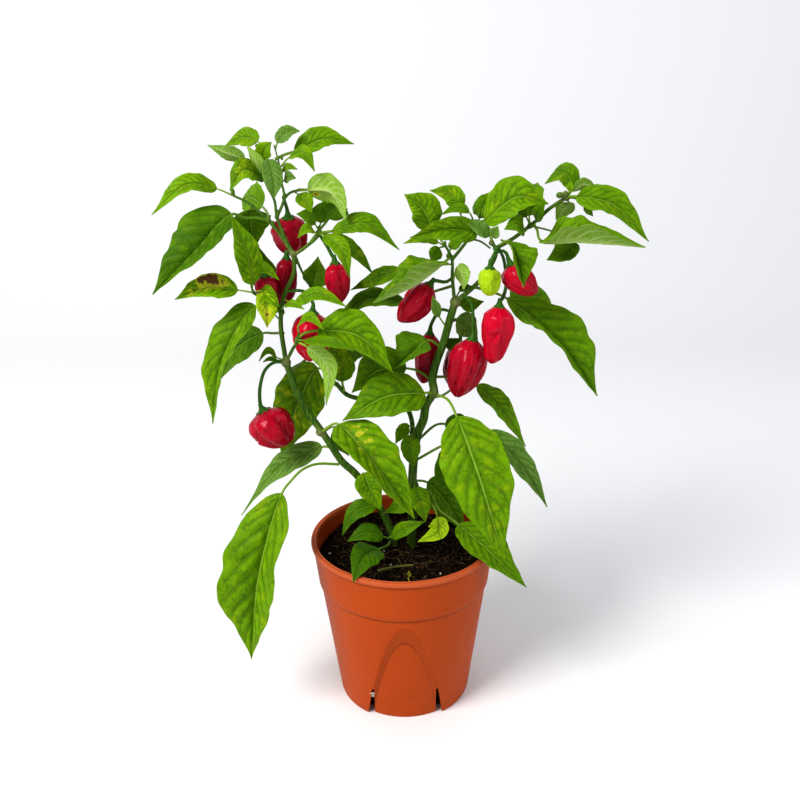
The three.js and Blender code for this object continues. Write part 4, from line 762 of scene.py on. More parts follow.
# %% Leaves of the right stem
RIGHT_LEAVES = [
    ["leaf_left_11", [[-50, 272, 13], [-57, 281, 18]], [-63, 284, 21], [-82, 250, 28], [-95, 209, 30], 38,
     15, 10, "olive"],
    ["leaf_left_12", [[-44, 266, 14.5]], [-45, 273, 18], [-45, 289, 22], [-56, 304, 27], 18, 15, 10,
     "olive"],
    ["leaf_mid_01", [[26, 263, 2]], [18, 263, -8], [-12, 260, -19], [-46, 241, -19], 38, 25, 12, "mid"],
    ["leaf_mid_02", [[24, 272, 2], [15, 280, 8]], [4, 283, 11], [-18, 281, 14], [-38, 264, 12], 34, 25,
     10, "dark"],
    ["leaf_mid_03", [[31, 299, 2]], [20, 305, -4], [8, 294, -8], [-6, 283, -11], 34, 40, 35, "dark"],
    ["leaf_mid_04", [[37, 367, 3]], [33, 364, -4], [9, 346, -14], [-20, 334, -16], 36, 66, 56, "olive"],
    ["leaf_mid_05", [[38.5, 346, 2], [22, 341, 17]], [4, 335, 17], [-25, 337, 15], [-49, 318, 10], 18, 45,
     10, "dark"],
    ["leaf_right_01", [[26, 262, 2], [36, 257, -10]], [43, 243, -22], [61, 192, -44], [84, 114, -54], 53,
     8, 8, "bright", 0, 0.43],
    ["leaf_right_02", [[9, 181, 5], [20, 180, 2], [29, 163, -8], [37, 156, -14]], [45, 149, -20],
     [72, 122, -36], [103, 88.5, -46], 34, 35, 20, "mid"],
    ["leaf_right_03", [[9, 189, 5]], [20, 187, 15], [36, 168, 17], [50, 142, 15], 30, 30, 10, "dark"],
    ["leaf_right_04", [[54, 345, -1.5], [65, 342, 8]], [79, 336, 10], [117, 303, 2], [151, 258.5, -4], 45,
     45, 38, "mid", 0, 0.5],
    ["leaf_right_05", [[26, 276, 2], [40, 275, 14]], [58, 268, 18], [78, 248, 16], [97.5, 217, 12], 20,
     45, 15, "mid"],
    ["leaf_right_06", [[10, 206, 5], [32, 219, 3], [52, 228, 1]], [66, 228, 0], [94, 201, -2],
     [117, 163.5, -6], 26, 45, 20, "grey"],
    ["leaf_right_07", [[12, 223, 5], [26, 236, 8]], [34, 237, 15], [48, 230, 25], [62, 212, 29], 22, 25,
     10, "dark"],
    ["leaf_right_08", [[55, 392, 4]], [61, 393, 3], [84, 409, -5], [106.5, 404, -7], 30, 30, 15,
     "bright"],
    ["leaf_right_09", [[96, 390.5, 3], [99, 386, -1]], [102, 378, -6], [132, 377, -16], [178, 372.5, -18],
     36, 68, 58, "light"],
    ["leaf_right_10", [[119, 408.5, 3]], [126, 409, -6], [152, 403, -12], [180, 376.5, -14], 24, 40, 15,
     "mid"],
    ["leaf_right_11", [[72, 375, -2]], [79, 378, -14], [85, 362, -28], [91, 344, -32], 30, 45, 40, "mid"],
    # Behind the right stem
    ["leaf_back_05", [[-20, 257.5, 19], [-20, 261, 30]], [-18, 264, 42], [-16, 271, 68], [-14, 275, 96],
     32, 0, 12, "mid"],
    ["leaf_back_06", [[8, 174, 4], [19, 178, 22]], [29, 184, 34], [50, 206, 62], [66, 205, 92], 34, 10,
     12, "dark"],
    ["leaf_back_07", [[64, 357, -2], [75, 352, 22]], [82, 345, 34], [100, 328, 56], [118, 305, 76], 26,
     20, 12, "mid"],
    ["leaf_back_08", [[23, 259, 3], [32, 261, 24]], [40, 267, 44], [47, 277, 74], [52, 284, 102], 24, 0,
     12, "dark"],
    ["leaf_back_09", [[101, 394.5, 3], [99, 398, 18]], [96, 401, 30], [90, 408, 56], [86, 410, 82], 26,
     10, 12, "mid"],
    # Upper middle cluster
    ["", [[33, 376, 4]], [24, 387, 6], [16, 403, 8], [4, 412, 6], 24, 20, 15, "bright"],
    ["", [[50, 381, 4]], [43, 400, 6], [37, 411, 8], [22, 414.5, 8], 15, 20, 15, "bright"],
    ["", [[54, 391, 4]], [50, 399, 2], [42, 402, 0], [30, 397.5, -2], 8, 35, 10, "mid"],
    ["", [[50, 381, 4]], [56, 384, -3], [34, 387, -9], [7.5, 381.5, -12], 20, 5, 32, "mid"],
    ["", [[33, 375, 4]], [28, 378, 0], [17, 381, -4], [3, 377.5, -6], 8, 30, 10, "bright"],
    ["", [[33, 375, 4]], [29, 374, 7], [26, 369, 9], [23, 363, 10], 10, 15, 10, "dark"],
    ["", [[36, 369, 3]], [37, 373, 6], [41, 377, 8], [47, 379.5, 10], 8, 25, 10, "mid"],
    ["", [[66.5, 378, -2]], [65, 382, -4], [57, 388, -6], [47, 393, -8], 10, 20, 10, "grey"],
    ["", [[66.5, 378, -2]], [67, 381, -5], [69, 385, -7], [71, 389, -8], 8, 20, 10, "grey"],
    ["", [[55, 392, 4]], [58, 395, 8], [61, 404, 11], [72, 415, 13], 14, 15, 10, "dark"],
    ["", [[94, 389, 3]], [91, 395, 6], [87, 401, 8], [80, 401, 10], 9, 20, 10, "olive"],
    ["", [[94, 389, 3]], [93, 396, 0], [95, 401, -2], [90, 406, -4], 9, 20, 10, "olive"],
    ["", [[92, 387.5, 3]], [90, 385, -7], [84, 390, -13], [75.5, 386.5, -15], 14, 20, 12, "mid"],
    ["", [[119, 408.5, 3]], [122, 414, 4], [117, 425, 7], [103, 418, 10], 15, 20, 12, "mid"],
    ["", [[119, 408.5, 3]], [123, 413, 4], [131, 417, 6], [141, 411, 8], 10, 145, 10, "pale"],
    ["", [[119, 408.5, 3]], [120.5, 413, 0], [121, 416, -1], [121, 420, -1], 4, 10, 10, "pale"],
    ["", [[97, 391.5, 3]], [98, 393, -6], [100, 399, -17], [104, 405, -21], 9, 20, 10, "dark"],
    ["", [[117, 407, 3]], [121, 405, 6], [117, 399, 9], [112, 393, 10], 14, 150, 10, "grey"],
    ["", [[119, 408.5, 3], [127, 407, 4]], [132, 403, 6], [135, 399, 7], [138.5, 395, 8], 5, 20, 8,
     "mid"],
    ["", [[94, 389, 3], [112, 384, 10]], [126, 377, 10], [118, 369, 8], [107, 364, 6], 17, 20, 10,
     "dark"],
    # Small leaves under the fork
    ["", [[39, 348, 2]], [42, 360, -2], [46, 353, -6], [47, 343, -8], 12, 150, 10, "pale"],
    ["", [[41, 336, 0]], [44, 342, 4], [48, 345, 6], [53, 345.5, 8], 5, 20, 8, "mid"],
    ["", [[41, 333, 0]], [45, 331, 7], [52, 332, 10], [62, 334, 13], 12, 20, 10, "mid"],
    ["", [[37, 321, 1]], [42, 321, 6], [50, 315, 11], [58, 305, 14], 18, 15, 10, "grey"],
    ["", [[32, 301, 2]], [34, 300, 6], [39, 302, 8], [46, 306, 10], 9, 10, 8, "dark"],
    ["", [[35, 314, 1.5]], [29, 323, -9], [26, 331, -14], [24, 339, -15], 7, 20, 10, "grey"],
    ["", [[39, 362, 3], [20, 361, 4]], [2, 358, 6], [-17, 352, 8], [-36, 344, 12], 14, 35, 10, "olive"],
    # Small leaves on the lower stem
    ["", [[9, 184, 4]], [10, 183, -2], [15, 168, -10], [18.5, 151, -14], 16, 15, 12, "bright"],
    ["", [[9, 176, 4]], [10, 175, 0], [-1, 167, -6], [-15, 160.5, -9], 15, 15, 10, "olive"],
    ["", [[12, 227, 4]], [7, 228, -2], [7, 214, -6], [9, 200, -8], 15, 10, 10, "mid"],
    ["", [[13, 232, 4]], [6, 236, 5], [0, 230, 4], [-5, 221, 2], 10, 15, 10, "olive"],
    ["", [[9, 178, 4], [24, 167, -8]], [28, 156, -16], [29, 143, -22], [12, 133, -26], 17, 15, 15,
     "lime"],
]
print("right leaves:", len(RIGHT_LEAVES))

# %% [markdown]
# Each large leaf is a piece of its own and stands for its solid in the frame. The small leaves
# of a stem are collected in one skin, as they are fused with that stem.

# %% Make the leaves


def make_leaves(side, rows):
    small = Skin()
    for order, row in enumerate(rows):
        leaf = Leaf(*row)
        if leaf.name == "":
            add_leaf(small, leaf, order)
            continue
        skin = Skin()
        add_leaf(skin, leaf, order)
        piece = make_piece(leaf.name + "_fine", skin, LEAF_FINISHES, "leaf")
        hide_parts(leaf.name)
    piece = make_piece(f"small_leaves_{side}", small, LEAF_FINISHES, "leaf")
    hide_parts(f"stem_{side}")


make_leaves("left", LEFT_LEAVES)
make_leaves("right", RIGHT_LEAVES)

# %% [markdown]
# The stems are green and a little woody, thickest at the soil, swollen where they fork. Each path
# is a row of readings with its radius at both ends in millimetres. Tubes along the paths, with
# round knots at the forks, are joined by a voxel remesh, which melts them into one skin as the
# real bark is, and a light smoothing takes the steps away. A union of the tubes would leave sharp
# creases there.

# %% Paths of the stems
LEFT_PATHS = [
    [[[-16, 160, 2], [-36, 194, 0], [-48, 207, -1], [-56, 221, -2], [-63.5, 234, -2], [-76, 255, -2],
     [-87, 289, -2]], 3.4, 2.6, "foot"],
    [[[-87, 288, -2], [-89, 322, -2], [-85, 341, 0], [-77, 358, 2], [-77, 371, 2]], 1.9, 1.5],
    [[[-77, 371, 2], [-83, 381, 3], [-88.7, 390, 4], [-93, 395, 4], [-92, 399, 4]], 1.5, 1.2],
    [[[-92, 394, 4], [-106.6, 407.5, 6], [-117.5, 413, 6]], 1.3, 0.9],
    [[[-77, 371, 2], [-83, 385, 1], [-87, 397.5, 0], [-88, 409, 0], [-93, 420, 0], [-96, 432, 1],
     [-95, 446, 1]], 1.4, 0.7],
    [[[-87, 397, 0], [-81, 411, 0], [-82.5, 423, 0], [-83, 433, 0], [-86, 447, 1]], 1.2, 0.6],
    [[[-81.5, 410, 0], [-76, 414.5, 1], [-69, 416, 1]], 1.1, 0.9],
    [[[-77, 370, 2], [-69, 375, 2], [-57.5, 385, 1], [-57, 391, 2]], 1.4, 1.2],
    [[[-87, 289, -2], [-81, 300, -9], [-77, 306, -13], [-76, 312, -14]], 1.4, 1.1],
    [[[-88, 327, -2], [-97, 336, -6], [-107.5, 343, -9], [-109, 354, -11]], 1.2, 0.9],
    [[[-76, 371, 2], [-72, 360, 6], [-65.5, 346, 10]], 1.2, 0.8],
    [[[-9, 133, 3], [-10, 135, -2], [-12.5, 137.5, -6]], 1.5, 1.1],
]
RIGHT_PATHS = [
    [[[8, 160, 4], [8, 190, 5], [12, 228, 4], [17, 241, 4], [19, 253, 3], [25, 264, 2], [24, 273, 2],
     [26.5, 286, 2], [32, 302, 2], [37, 321, 1], [41, 335, 0]], 4, 2.9, "foot"],
    [[[40.5, 333, 0], [38.5, 352, 2], [38, 366, 3], [33, 376, 4]], 1.5, 1],
    [[[38, 365, 3], [49.5, 380, 4], [55, 392, 4]], 1.4, 1.1],
    [[[41, 334, 0], [49.5, 341, -1], [58, 349, -2], [70, 369, -2], [66.5, 379, -2]], 2.1, 1.3],
    [[[68, 372, -2], [82, 380, 1], [94, 389, 3], [100, 394, 3], [107.5, 401, 3], [119, 408.5, 3]], 1.5,
     1.4],
    [[[49.5, 380, 4], [58, 378.5, 2], [66, 373, -1]], 0.8, 0.8],
    [[[8.5, 186, 5], [7, 215, 12], [8, 240, 17], [2, 253, 19], [-20, 257, 19], [-41, 262, 16],
     [-50, 272, 13]], 2.1, 1.8],
]
print("stem paths:", len(LEFT_PATHS) + len(RIGHT_PATHS))

# %% Knots, buds and scars of the stems
# A knot has a radius, and a bud a radius and a height, in millimetres
KNOTS = {
    "left": [[[-87, 289, -2], 4], [[-77, 371, 2], 2.6], [[-93, 395, 4], 2], [[-87, 397.5, 0], 1.8],
     [[-81, 411, 0], 1.9], [[-57.5, 386, 1], 2.6], [[-88, 328, -2], 2.6], [[-63.5, 232, -2], 3.9],
     [[-107.5, 343, -9], 1.6], [[-104, 405.5, 6], 1.8], [[-77, 306.5, -13], 2.8]],
    "right": [[[25, 263, 2], 4], [[41, 334, 0], 4.4], [[66.5, 377, -2], 2.2], [[94, 389, 3], 2.4],
     [[55, 392, 4], 2.2], [[36, 368, 3], 2.4], [[-49.5, 271, 13], 2.2], [[119, 408.5, 3], 2.8],
     [[8.5, 184, 5], 5]],
}
BUDS = {
    "left": [[[-117, 415, 6], 1.6, 3], [[-90, 392, 4], 1.5, 3.4], [[-81, 438, 0], 1.2, 2], [[-98, 446, 1],
     1.2, 2]],
    "right": [[[54, 400, 4], 1.5, 3], [[57, 397, 4], 1.3, 2.5], [[114, 410, 1], 2.8, 2.4], [[118, 411, 1],
     2, 2.4], [[33, 377, 4], 1.2, 2.4]],
}
# Pale scars where old leaves and shoots have gone, each with its reach in millimetres
SCARS = {
    "left": [((-87, 289, -5), 4), ((-63.5, 231, -5), 4), ((-55, 203, -4), 3), ((-76, 372, 0), 4)],
    "right": [((41, 334, -4), 5), ((25, 263, -3), 4), ((66.5, 377, -4), 3), ((118, 410, 2), 4)],
}
print("knots:", sum(len(rows) for rows in KNOTS.values()))

# %% Stem finish
STEM_DARK, STEM_LIGHT = (0.013, 0.05, 0.003), (0.085, 0.18, 0.014)
STEM_YOUNG = (0.13, 0.25, 0.03)
STEM_CORK, STEM_SCAR = (0.22, 0.20, 0.06), (0.26, 0.24, 0.10)


def stem_finish():
    stem = Finish("stem_bark", Roughness=0.45, Specular_IOR_Level=0.12)
    height = stem.height()
    streaks = stem.mottle(1.5 * MM, stretch=(1.0, 1.0, 0.08))
    stem.mix(stem.ramp(streaks, 0.2, 0.8), STEM_DARK, STEM_LIGHT)
    # Paler toward the tips, corky toward the soil
    stem.paint(STEM_YOUNG, stem.ramp(height, 300 * MM, 400 * MM), 0.3)
    cork = stem.ramp(stem.mottle(2.5 * MM, 4.0), 0.55, 0.7)
    stem.paint(STEM_CORK, cork, stem.ramp(height, 300 * MM, 130 * MM), 0.7)
    stem.paint(STEM_SCAR, stem.mark(), 0.55)
    stem.bump(streaks, 0.4, 0.25 * MM)
    return stem.done()


STEM_BARK = stem_finish()

# %% Make the stems
STEM_FEET = {"left": (-8, 3), "right": (7, 4)}
# A main stem starts deep in the soil and comes out of it
FOOT_HEIGHTS = (88.6, 112, 134)
STEM_VOXEL = 0.55 * MM


def add_knot(skin, reading, radius, height):
    centre = seen(reading)
    stretch = Matrix.Diagonal((radius * MM, radius * MM, height * MM))
    skin.add_ball(2, lambda corner: centre + stretch @ corner)


def melt(piece, voxel):
    fuse = piece.modifiers.new("fuse", "REMESH")
    fuse.mode = "VOXEL"
    fuse.voxel_size = voxel
    fuse.use_smooth_shade = True
    soften = piece.modifiers.new("soften", "SMOOTH")
    soften.factor = 0.5
    soften.iterations = 4
    apply_modifiers(piece)


def mark_scars(piece, scars):
    centres = [(seen(place), reach * MM) for place, reach in scars]
    marks = []
    for vertex in piece.data.vertices:
        marks.append(max(math.exp(-(((vertex.co - at).length / reach) ** 2)) for at, reach in centres))
    piece.data.attributes.new("mark", "FLOAT", "POINT").data.foreach_set("value", marks)


def make_stem(side, paths):
    skin = Skin()
    for readings, first_radius, last_radius, *foot in paths:
        points = [seen(reading) for reading in readings]
        if foot:
            points = [Vector((*STEM_FEET[side], height)) * MM for height in FOOT_HEIGHTS] + points
        add_tube(skin, points, first_radius * MM, last_radius * MM, sides=14)
    for reading, radius in KNOTS[side]:
        add_knot(skin, reading, radius, radius)
    for reading, radius, height in BUDS[side]:
        add_knot(skin, reading, radius, height)
    piece = make_piece(f"stem_{side}_bark", skin, [STEM_BARK], "stem")
    melt(piece, STEM_VOXEL)
    mark_scars(piece, SCARS[side])
    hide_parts(f"stem_{side}")
    print(piece.name, "melted faces:", len(piece.data.polygons))


make_stem("left", LEFT_PATHS)
make_stem("right", RIGHT_PATHS)

# %% [markdown]
# The fruits are hollow lantern peppers: broad shoulders, three or four lobes with grooves
# between them, crumpled flanks and a pinched end. Each is turned from a profile round its own
# axis, then grooved and wrinkled by formula, which a plain lathe can't do. Thin red skin over
# pale flesh gives a deep, glossy crimson. Pale pink streaks near the shoulders are painted
# highlights, and painted shade darkens each pepper toward its lower end and those in shadow.

# %% Pepper finishes
CRIMSON_DARK, CRIMSON_LIGHT, CRIMSON_HIGHLIGHT = (0.17, 0.0005, 0.009), (0.56, 0.001, 0.024), (0.72, 0.03, 0.09)
UNRIPE_DARK, UNRIPE_LIGHT, UNRIPE_HIGHLIGHT = (0.27, 0.45, 0.003), (0.48, 0.66, 0.01), (0.6, 0.7, 0.08)


def pepper_finish(name, dark, light, painted_highlight):
    pepper = Finish(name, Roughness=0.25, Specular_IOR_Level=0.1, Coat_Weight=0.1, Coat_Roughness=0.12)
    around, along = flat_places(pepper)
    cloud = pepper.line(pepper.mottle(9 * MM, 2.0), 0.5, -0.2)
    # Painted shade: each pepper as light as it is lit, and darker toward its lower end
    shade = pepper.line(along, -0.25, pepper.tones()[0])
    pepper.mix(pepper.calc("ADD", shade, cloud), dark, light)
    place = pepper.node("ShaderNodeCombineXYZ", {0: around, 1: pepper.times(along, 0.12)})[0]
    streaks = pepper.node("ShaderNodeTexNoise", {"Vector": place, "Scale": 24, "Detail": 2.0})["Fac"]
    # Painted highlight: pale pink streaks near the shoulders
    pepper.paint(painted_highlight, pepper.ramp(streaks, 0.5, 0.68), pepper.ramp(along, 0.6, 0.1), 0.45)
    pepper.gloss(3 * MM, 3.0, 0.22, 0.16)
    fine = pepper.times(pepper.mottle(0.9 * MM), 0.3)
    pepper.bump(pepper.calc("ADD", pepper.mottle(2.6 * MM, 2.0), fine), 0.35, 0.35 * MM)
    return pepper.done()


PEPPER_SKINS = {
    "red": (pepper_finish("pepper_red_skin", CRIMSON_DARK, CRIMSON_LIGHT, CRIMSON_HIGHLIGHT), "pepper_red"),
    "green": (pepper_finish("pepper_green_skin", UNRIPE_DARK, UNRIPE_LIGHT, UNRIPE_HIGHLIGHT), "pepper_green"),
}

# %% [markdown]
# A pepper is given by its name, its shoulder and its tip, its width in millimetres, how many
# lobes it has, its profile and colour, and the path of its stalk. A profile lists the radius from
# the shoulder to the tip, as a share of half the width.

# %% Peppers and their places
Pepper = namedtuple("Pepper", "name shoulder tip width lobes profile colour stalk")
PROFILES = {
    "lantern": [0.2, 0.82, 1, 0.96, 0.8, 0.54, 0.26, 0.07],
    "round": [0.2, 0.86, 1, 0.98, 0.85, 0.64, 0.4, 0.16],
    "waisted": [0.2, 0.88, 1, 0.88, 0.72, 0.6, 0.3, 0.07],
    "slim": [0.2, 0.82, 0.98, 1, 0.9, 0.66, 0.36, 0.08],
}
PEPPERS = [
    ["pepper_left_1", [-79, 397, 21], [-77, 371, 30], 26, 4, "round", "red", [[-81, 411, 0],
     [-81, 409, 10], [-79.5, 403, 19]]],
    ["pepper_left_2", [-82, 368, 14], [-85.5, 333.5, 14], 18, 3, "slim", "red", [[-77, 369, 2],
     [-79, 373, 8], [-81, 372.5, 13]]],
    ["pepper_left_3", [-99, 355, 3], [-98, 337, 3], 17, 3, "round", "red", [[-109, 352, -10],
     [-107, 362, -4], [-101, 363, 2]]],
    ["pepper_left_4", [-47, 364, 0], [-44, 334, 0], 20, 3, "lantern", "red", [[-57.5, 385, 1],
     [-52, 376, 0], [-48.5, 369, 0]]],
    ["pepper_left_5", [-65, 327, 2], [-69, 290, 2], 30, 4, "lantern", "red", [[-84, 344, 0],
     [-70, 343, 3], [-64, 333, 2]]],
    ["pepper_left_6", [-107, 250, -4], [-94, 220, -6], 34, 4, "round", "red", [[-87, 289, -2],
     [-96, 289, -3], [-103, 283.5, -4], [-107.7, 271, -4], [-109, 260, -4]]],
    ["pepper_right_1", [22, 347, 1], [1.5, 318, -1], 23, 3, "lantern", "red", [[38.5, 352, 2],
     [34, 349, 2], [27, 350, 1]]],
    ["pepper_right_2", [81, 361, -8], [93, 336, -10], 23, 3, "round", "red", [[70, 370, -2],
     [76, 371, -4], [79, 366, -5]]],
    ["pepper_right_3", [66, 359, -17], [65, 338.5, -17], 17, 3, "round", "green", [[69, 373, -2],
     [71, 374, -11], [67, 365, -17]]],
    ["pepper_right_4", [73.5, 330, -13], [70.5, 286, -14.5], 26, 3, "waisted", "red", [[72, 373, -2],
     [76, 364, 8], [78, 348, 9], [76, 337, -7]]],
    ["pepper_right_5", [54, 305, -2], [46, 259, -2], 29, 4, "lantern", "red", [[47, 339, -1],
     [52.5, 333, -3], [54.5, 318, -3], [54.5, 310, -2]]],
    ["pepper_right_6", [44, 300, 29], [38, 268, 29], 20, 3, "lantern", "red", [[36, 318, 1],
     [42, 320, 14], [45, 308, 28]]],
    ["pepper_right_7", [22, 310, 18], [18, 271, 18], 20, 3, "slim", "red", [[37, 327, 1], [30, 328, 10],
     [23, 317, 18]]],
]
print("peppers:", len(PEPPERS))

# %% Shape of a pepper
# The middle of the top stands this much above the shoulder, in millimetres
TOP_RISE = 0.6
PROFILE_STEPS = 7
PEPPER_RINGS, PEPPER_SIDES = 56, 84
LOBE_TWIST = 0.15
GROOVE_TOP, GROOVE_END = 0.1, 0.3
SWELLS = ((1.0, 0.14), (2.7, 0.05))
CREASES, CREASE_HALF = ((1.5, 0.15), (3.1, 0.05)), 0.07


def length_share(index):
    return math.sin(0.5 * math.pi * index / PROFILE_STEPS) ** 1.25


def profile_at(profile, index):
    points = [Vector((part, 0, 0)) for part in profile]
    return max(smooth_point(points, index / PROFILE_STEPS).x, 0.0)


def pepper_frame(pepper):
    start, end = seen(pepper.shoulder), seen(pepper.tip)
    axis = (end - start).normalized()
    side = (Vector((1, 0, 0)) - axis * axis.x).normalized()
    half = 0.5 * pepper.width * MM * depth_scale(pepper.shoulder[2] * MM)
    return start, axis, (end - start).length, side, axis.cross(side), half


def wrinkles_at(out, along, order):
    spot = Vector((out.x * 1.6, out.y * 1.6, 2.2 * along + order * 5.1))
    swell = sum(depth * noise.noise(spot * size) for size, depth in SWELLS)
    crease = 0.0
    for size, depth in CREASES:
        near = noise.noise(Vector((out.x * size, out.y * size, 0.8 * size * along + order * 3.7)))
        crease += depth * math.exp(-((near / CREASE_HALF) ** 2))
    patch = noise.noise(Vector((out.x, out.y, 2.6 * along + order * 1.9)))
    return swell - crease * min(max(0.85 + 1.8 * patch, 0.25), 1.6)


def pepper_radius(angle, along, index, lobes, body, order):
    out = Vector((math.cos(angle), math.sin(angle), 0))
    turn = lobes * angle + LOBE_TWIST * index + 0.3 * math.sin(3 * along + order)
    groove = (0.5 - 0.5 * math.cos(turn)) ** 3
    grooved = 1.0 - (GROOVE_TOP + (GROOVE_END - GROOVE_TOP) * along) * groove * min(1.0, 4 * along)
    return body * grooved * (1 + wrinkles_at(out, along, order) * min(1.0, 2.5 * along))


print("a pepper has", PEPPER_RINGS, "rings of", PEPPER_SIDES, "points")

# %% Make the peppers
# Painted light and shade: how lit each pepper looks, low for those in shadow behind the others
PEPPER_PAINTED_LIGHT = {
    "pepper_left_2": 0.25,
    "pepper_left_5": 0.95,
    "pepper_right_2": 0.7,
    "pepper_right_4": 0.85,
    "pepper_right_6": 0.15,
    "pepper_right_7": 0.3,
}
# The sideways bend of a pepper's lower end, in millimetres
BENDS = {"pepper_right_2": 6, "pepper_left_6": 3, "pepper_right_1": -3, "pepper_right_5": -3}
THINNEST = 0.02


def make_pepper(pepper, order):
    start, axis, length, side, depth, half = pepper_frame(pepper)
    tint = (PEPPER_PAINTED_LIGHT.get(pepper.name, 0.5), 0.5, 0.5)
    bend = BENDS.get(pepper.name, 1.5 * math.sin(4 * order)) * MM
    skin = Skin()
    rings = []
    for step in range(PEPPER_RINGS + 1):
        index = PROFILE_STEPS * step / PEPPER_RINGS
        along = length_share(index)
        rise = TOP_RISE * MM * max(0.0, 1 - 3 * index)
        centre = start + axis * (along * length - rise) + side * (bend * along ** 3)
        body = profile_at(PROFILES[pepper.profile], index)
        radii = []
        for angle in angles_round(PEPPER_SIDES):
            radius = pepper_radius(angle, along, index, pepper.lobes, body, order)
            radii.append(half * max(radius, THINNEST))
        rings.append(skin.add_ring(ring_round(centre, side, depth, radii), tint, along))
    skin.close(rings)
    finish, slot = PEPPER_SKINS[pepper.colour]
    piece = make_piece(pepper.name + "_fine", skin, [finish], slot)
    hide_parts(pepper.name)


for order, row in enumerate(PEPPERS):
    make_pepper(Pepper(*row), order)

# %% [markdown]
# Each pepper hangs from a thick green stalk that flares into a cap on its shoulders, with a
# softly toothed edge. The cap's underside follows the pepper's slope, a hair's breadth clear.

# %% Calyx finish and shape
CALYX_DARK, CALYX_LIGHT = (0.013, 0.06, 0.007), (0.07, 0.20, 0.014)
CALYX_SIDES, CALYX_TEETH, TOOTH_LENGTH = 40, 5, 0.9
STALK_THIN, STALK_THICK, STALK_INTO_CAP = 1.1, 1.5, 4


def calyx_finish():
    calyx = Finish("calyx_green", Roughness=0.42, Specular_IOR_Level=0.15)
    streaks = calyx.mottle(1.2 * MM, stretch=(1.0, 1.0, 0.25))
    calyx.mix(streaks, CALYX_DARK, CALYX_LIGHT)
    calyx.bump(streaks, 0.35, 0.2 * MM)
    return calyx.done()


def calyx_levels(first, second, slope_depth):
    def skin_at(level):
        share = (level + TOP_RISE) / (slope_depth + TOP_RISE)
        return first + (second - first) * min(max(share, 0.0), 1.0)

    return [
        (-6.0, 1.4, 0.0),
        (-4.2, 1.7, 0.0),
        (-2.6, 0.4 * first + 1.1, 0.0),
        (-1.4, 0.8 * first + 0.8, 0.0),
        (-0.6, skin_at(-0.6) + 0.7, 0.3),
        (0.3, skin_at(0.3) + 0.7, 1.0),
        (0.7, skin_at(0.7) + 0.45, 1.0),
        (0.1, skin_at(0.1) + 0.35, 0.6),
        (-TOP_RISE - 0.4, first, 0.0),
    ]


def add_calyx(skin, pepper):
    start, axis, length, side, depth, half = pepper_frame(pepper)
    first, second = (part * half / MM for part in PROFILES[pepper.profile][:2])
    rings = []
    for level, radius, toothed in calyx_levels(first, second, length * length_share(1) / MM):
        ring = []
        for angle in angles_round(CALYX_SIDES):
            out = side * math.cos(angle) + depth * math.sin(angle)
            tooth = toothed * TOOTH_LENGTH * math.cos(CALYX_TEETH * angle)
            ring.append(start + (axis * (level + tooth) + out * (radius + 0.5 * tooth)) * MM)
        rings.append(skin.add_ring(ring))
    skin.close(rings)
    points = [seen(reading) for reading in pepper.stalk] + [start - axis * STALK_INTO_CAP * MM]
    add_tube(skin, points, STALK_THIN * MM, STALK_THICK * MM, sides=12)


CALYX_GREEN = calyx_finish()
for stem_side in ("left", "right"):
    skin = Skin()
    for row in PEPPERS:
        if row[0].startswith("pepper_" + stem_side):
            add_calyx(skin, Pepper(*row))
    piece = make_piece(f"calyxes_{stem_side}", skin, [CALYX_GREEN], "stem")
    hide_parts(f"stem_{stem_side}")

# %% [markdown]
# The pot is moulded in thin terracotta-coloured plastic: a rolled rim, a deep collar above a
# shoulder line, a tapered body, and three arched drainage panels pressed in at the foot, each
# with a slit at either side, wider toward the floor. Painted shade lies in thin dark lines round
# the rim and the shoulder and along the arches, and on the sloping bands round them; a painted
# highlight runs along the rim's bead, and dust lies at the foot.

# %% Pot finish
POT_DARK, POT_LIGHT = (0.38, 0.056, 0.005), (0.44, 0.071, 0.008)
POT_DUST, POT_RIM_HIGHLIGHT = (0.26, 0.05, 0.01), (0.60, 0.16, 0.07)
POT_PAINTED_SHADE, POT_SPECK = (0.15, 0.025, 0.002), (0.05, 0.015, 0.006)


def pot_finish():
    pot = Finish("pot_plastic", Roughness=0.5, Specular_IOR_Level=0.1)
    height = pot.height()
    pot.mix(pot.mottle(60 * MM, 2.0), POT_DARK, POT_LIGHT)
    # Dust at the foot, and a painted highlight along the rim's bead
    pot.paint(POT_DUST, pot.ramp(height, 45 * MM, 0.0), pot.ramp(pot.mottle(5 * MM, 5.0), 0.5, 0.75), 0.5)
    pot.paint(POT_RIM_HIGHLIGHT, pot.ramp(height, 136.4 * MM, 138.4 * MM), 0.4)
    # Painted shade from the mark: dark lines in creases, grooves and arch edges, and on sloping bands
    pot.paint(POT_PAINTED_SHADE, pot.mark())
    specks = pot.ramp(pot.mottle(1.5 * MM, 2.0), 0.69, 0.74)
    pot.paint(POT_SPECK, specks, pot.ramp(pot.mottle(22 * MM, 1.0), 0.45, 0.6))
    pot.gloss(7 * MM, 4.0, 0.25, 0.32)
    pot.bump(pot.mottle(0.7 * MM, 2.0), 0.12, 0.1 * MM)
    return pot.done()


POT_PLASTIC = pot_finish()

# %% [markdown]
# The pot's wall is a grid of points by angle and height, so that the arches can be pressed in by
# formula with soft edges, which a boolean cut would leave sharp. An arch is a parabola on the
# wall. Its inner part is pressed in fully, and the band round it slopes. The slits go right
# through, and are cut with thin blocks.

# %% Wall of the pot
BASE_RADIUS, BODY_TOP_RADIUS = 55.0, 68.4
BODY_FOOT, BODY_TOP = 1.5, 103.0
ARCH_COUNT = 3
OUTER_HALF, OUTER_HEIGHT = 31.0, 96.0
INNER_HALF, INNER_HEIGHT = 28.0, 81.0
FOOT_DEPTH, TOP_DEPTH = 3.2, 1.2
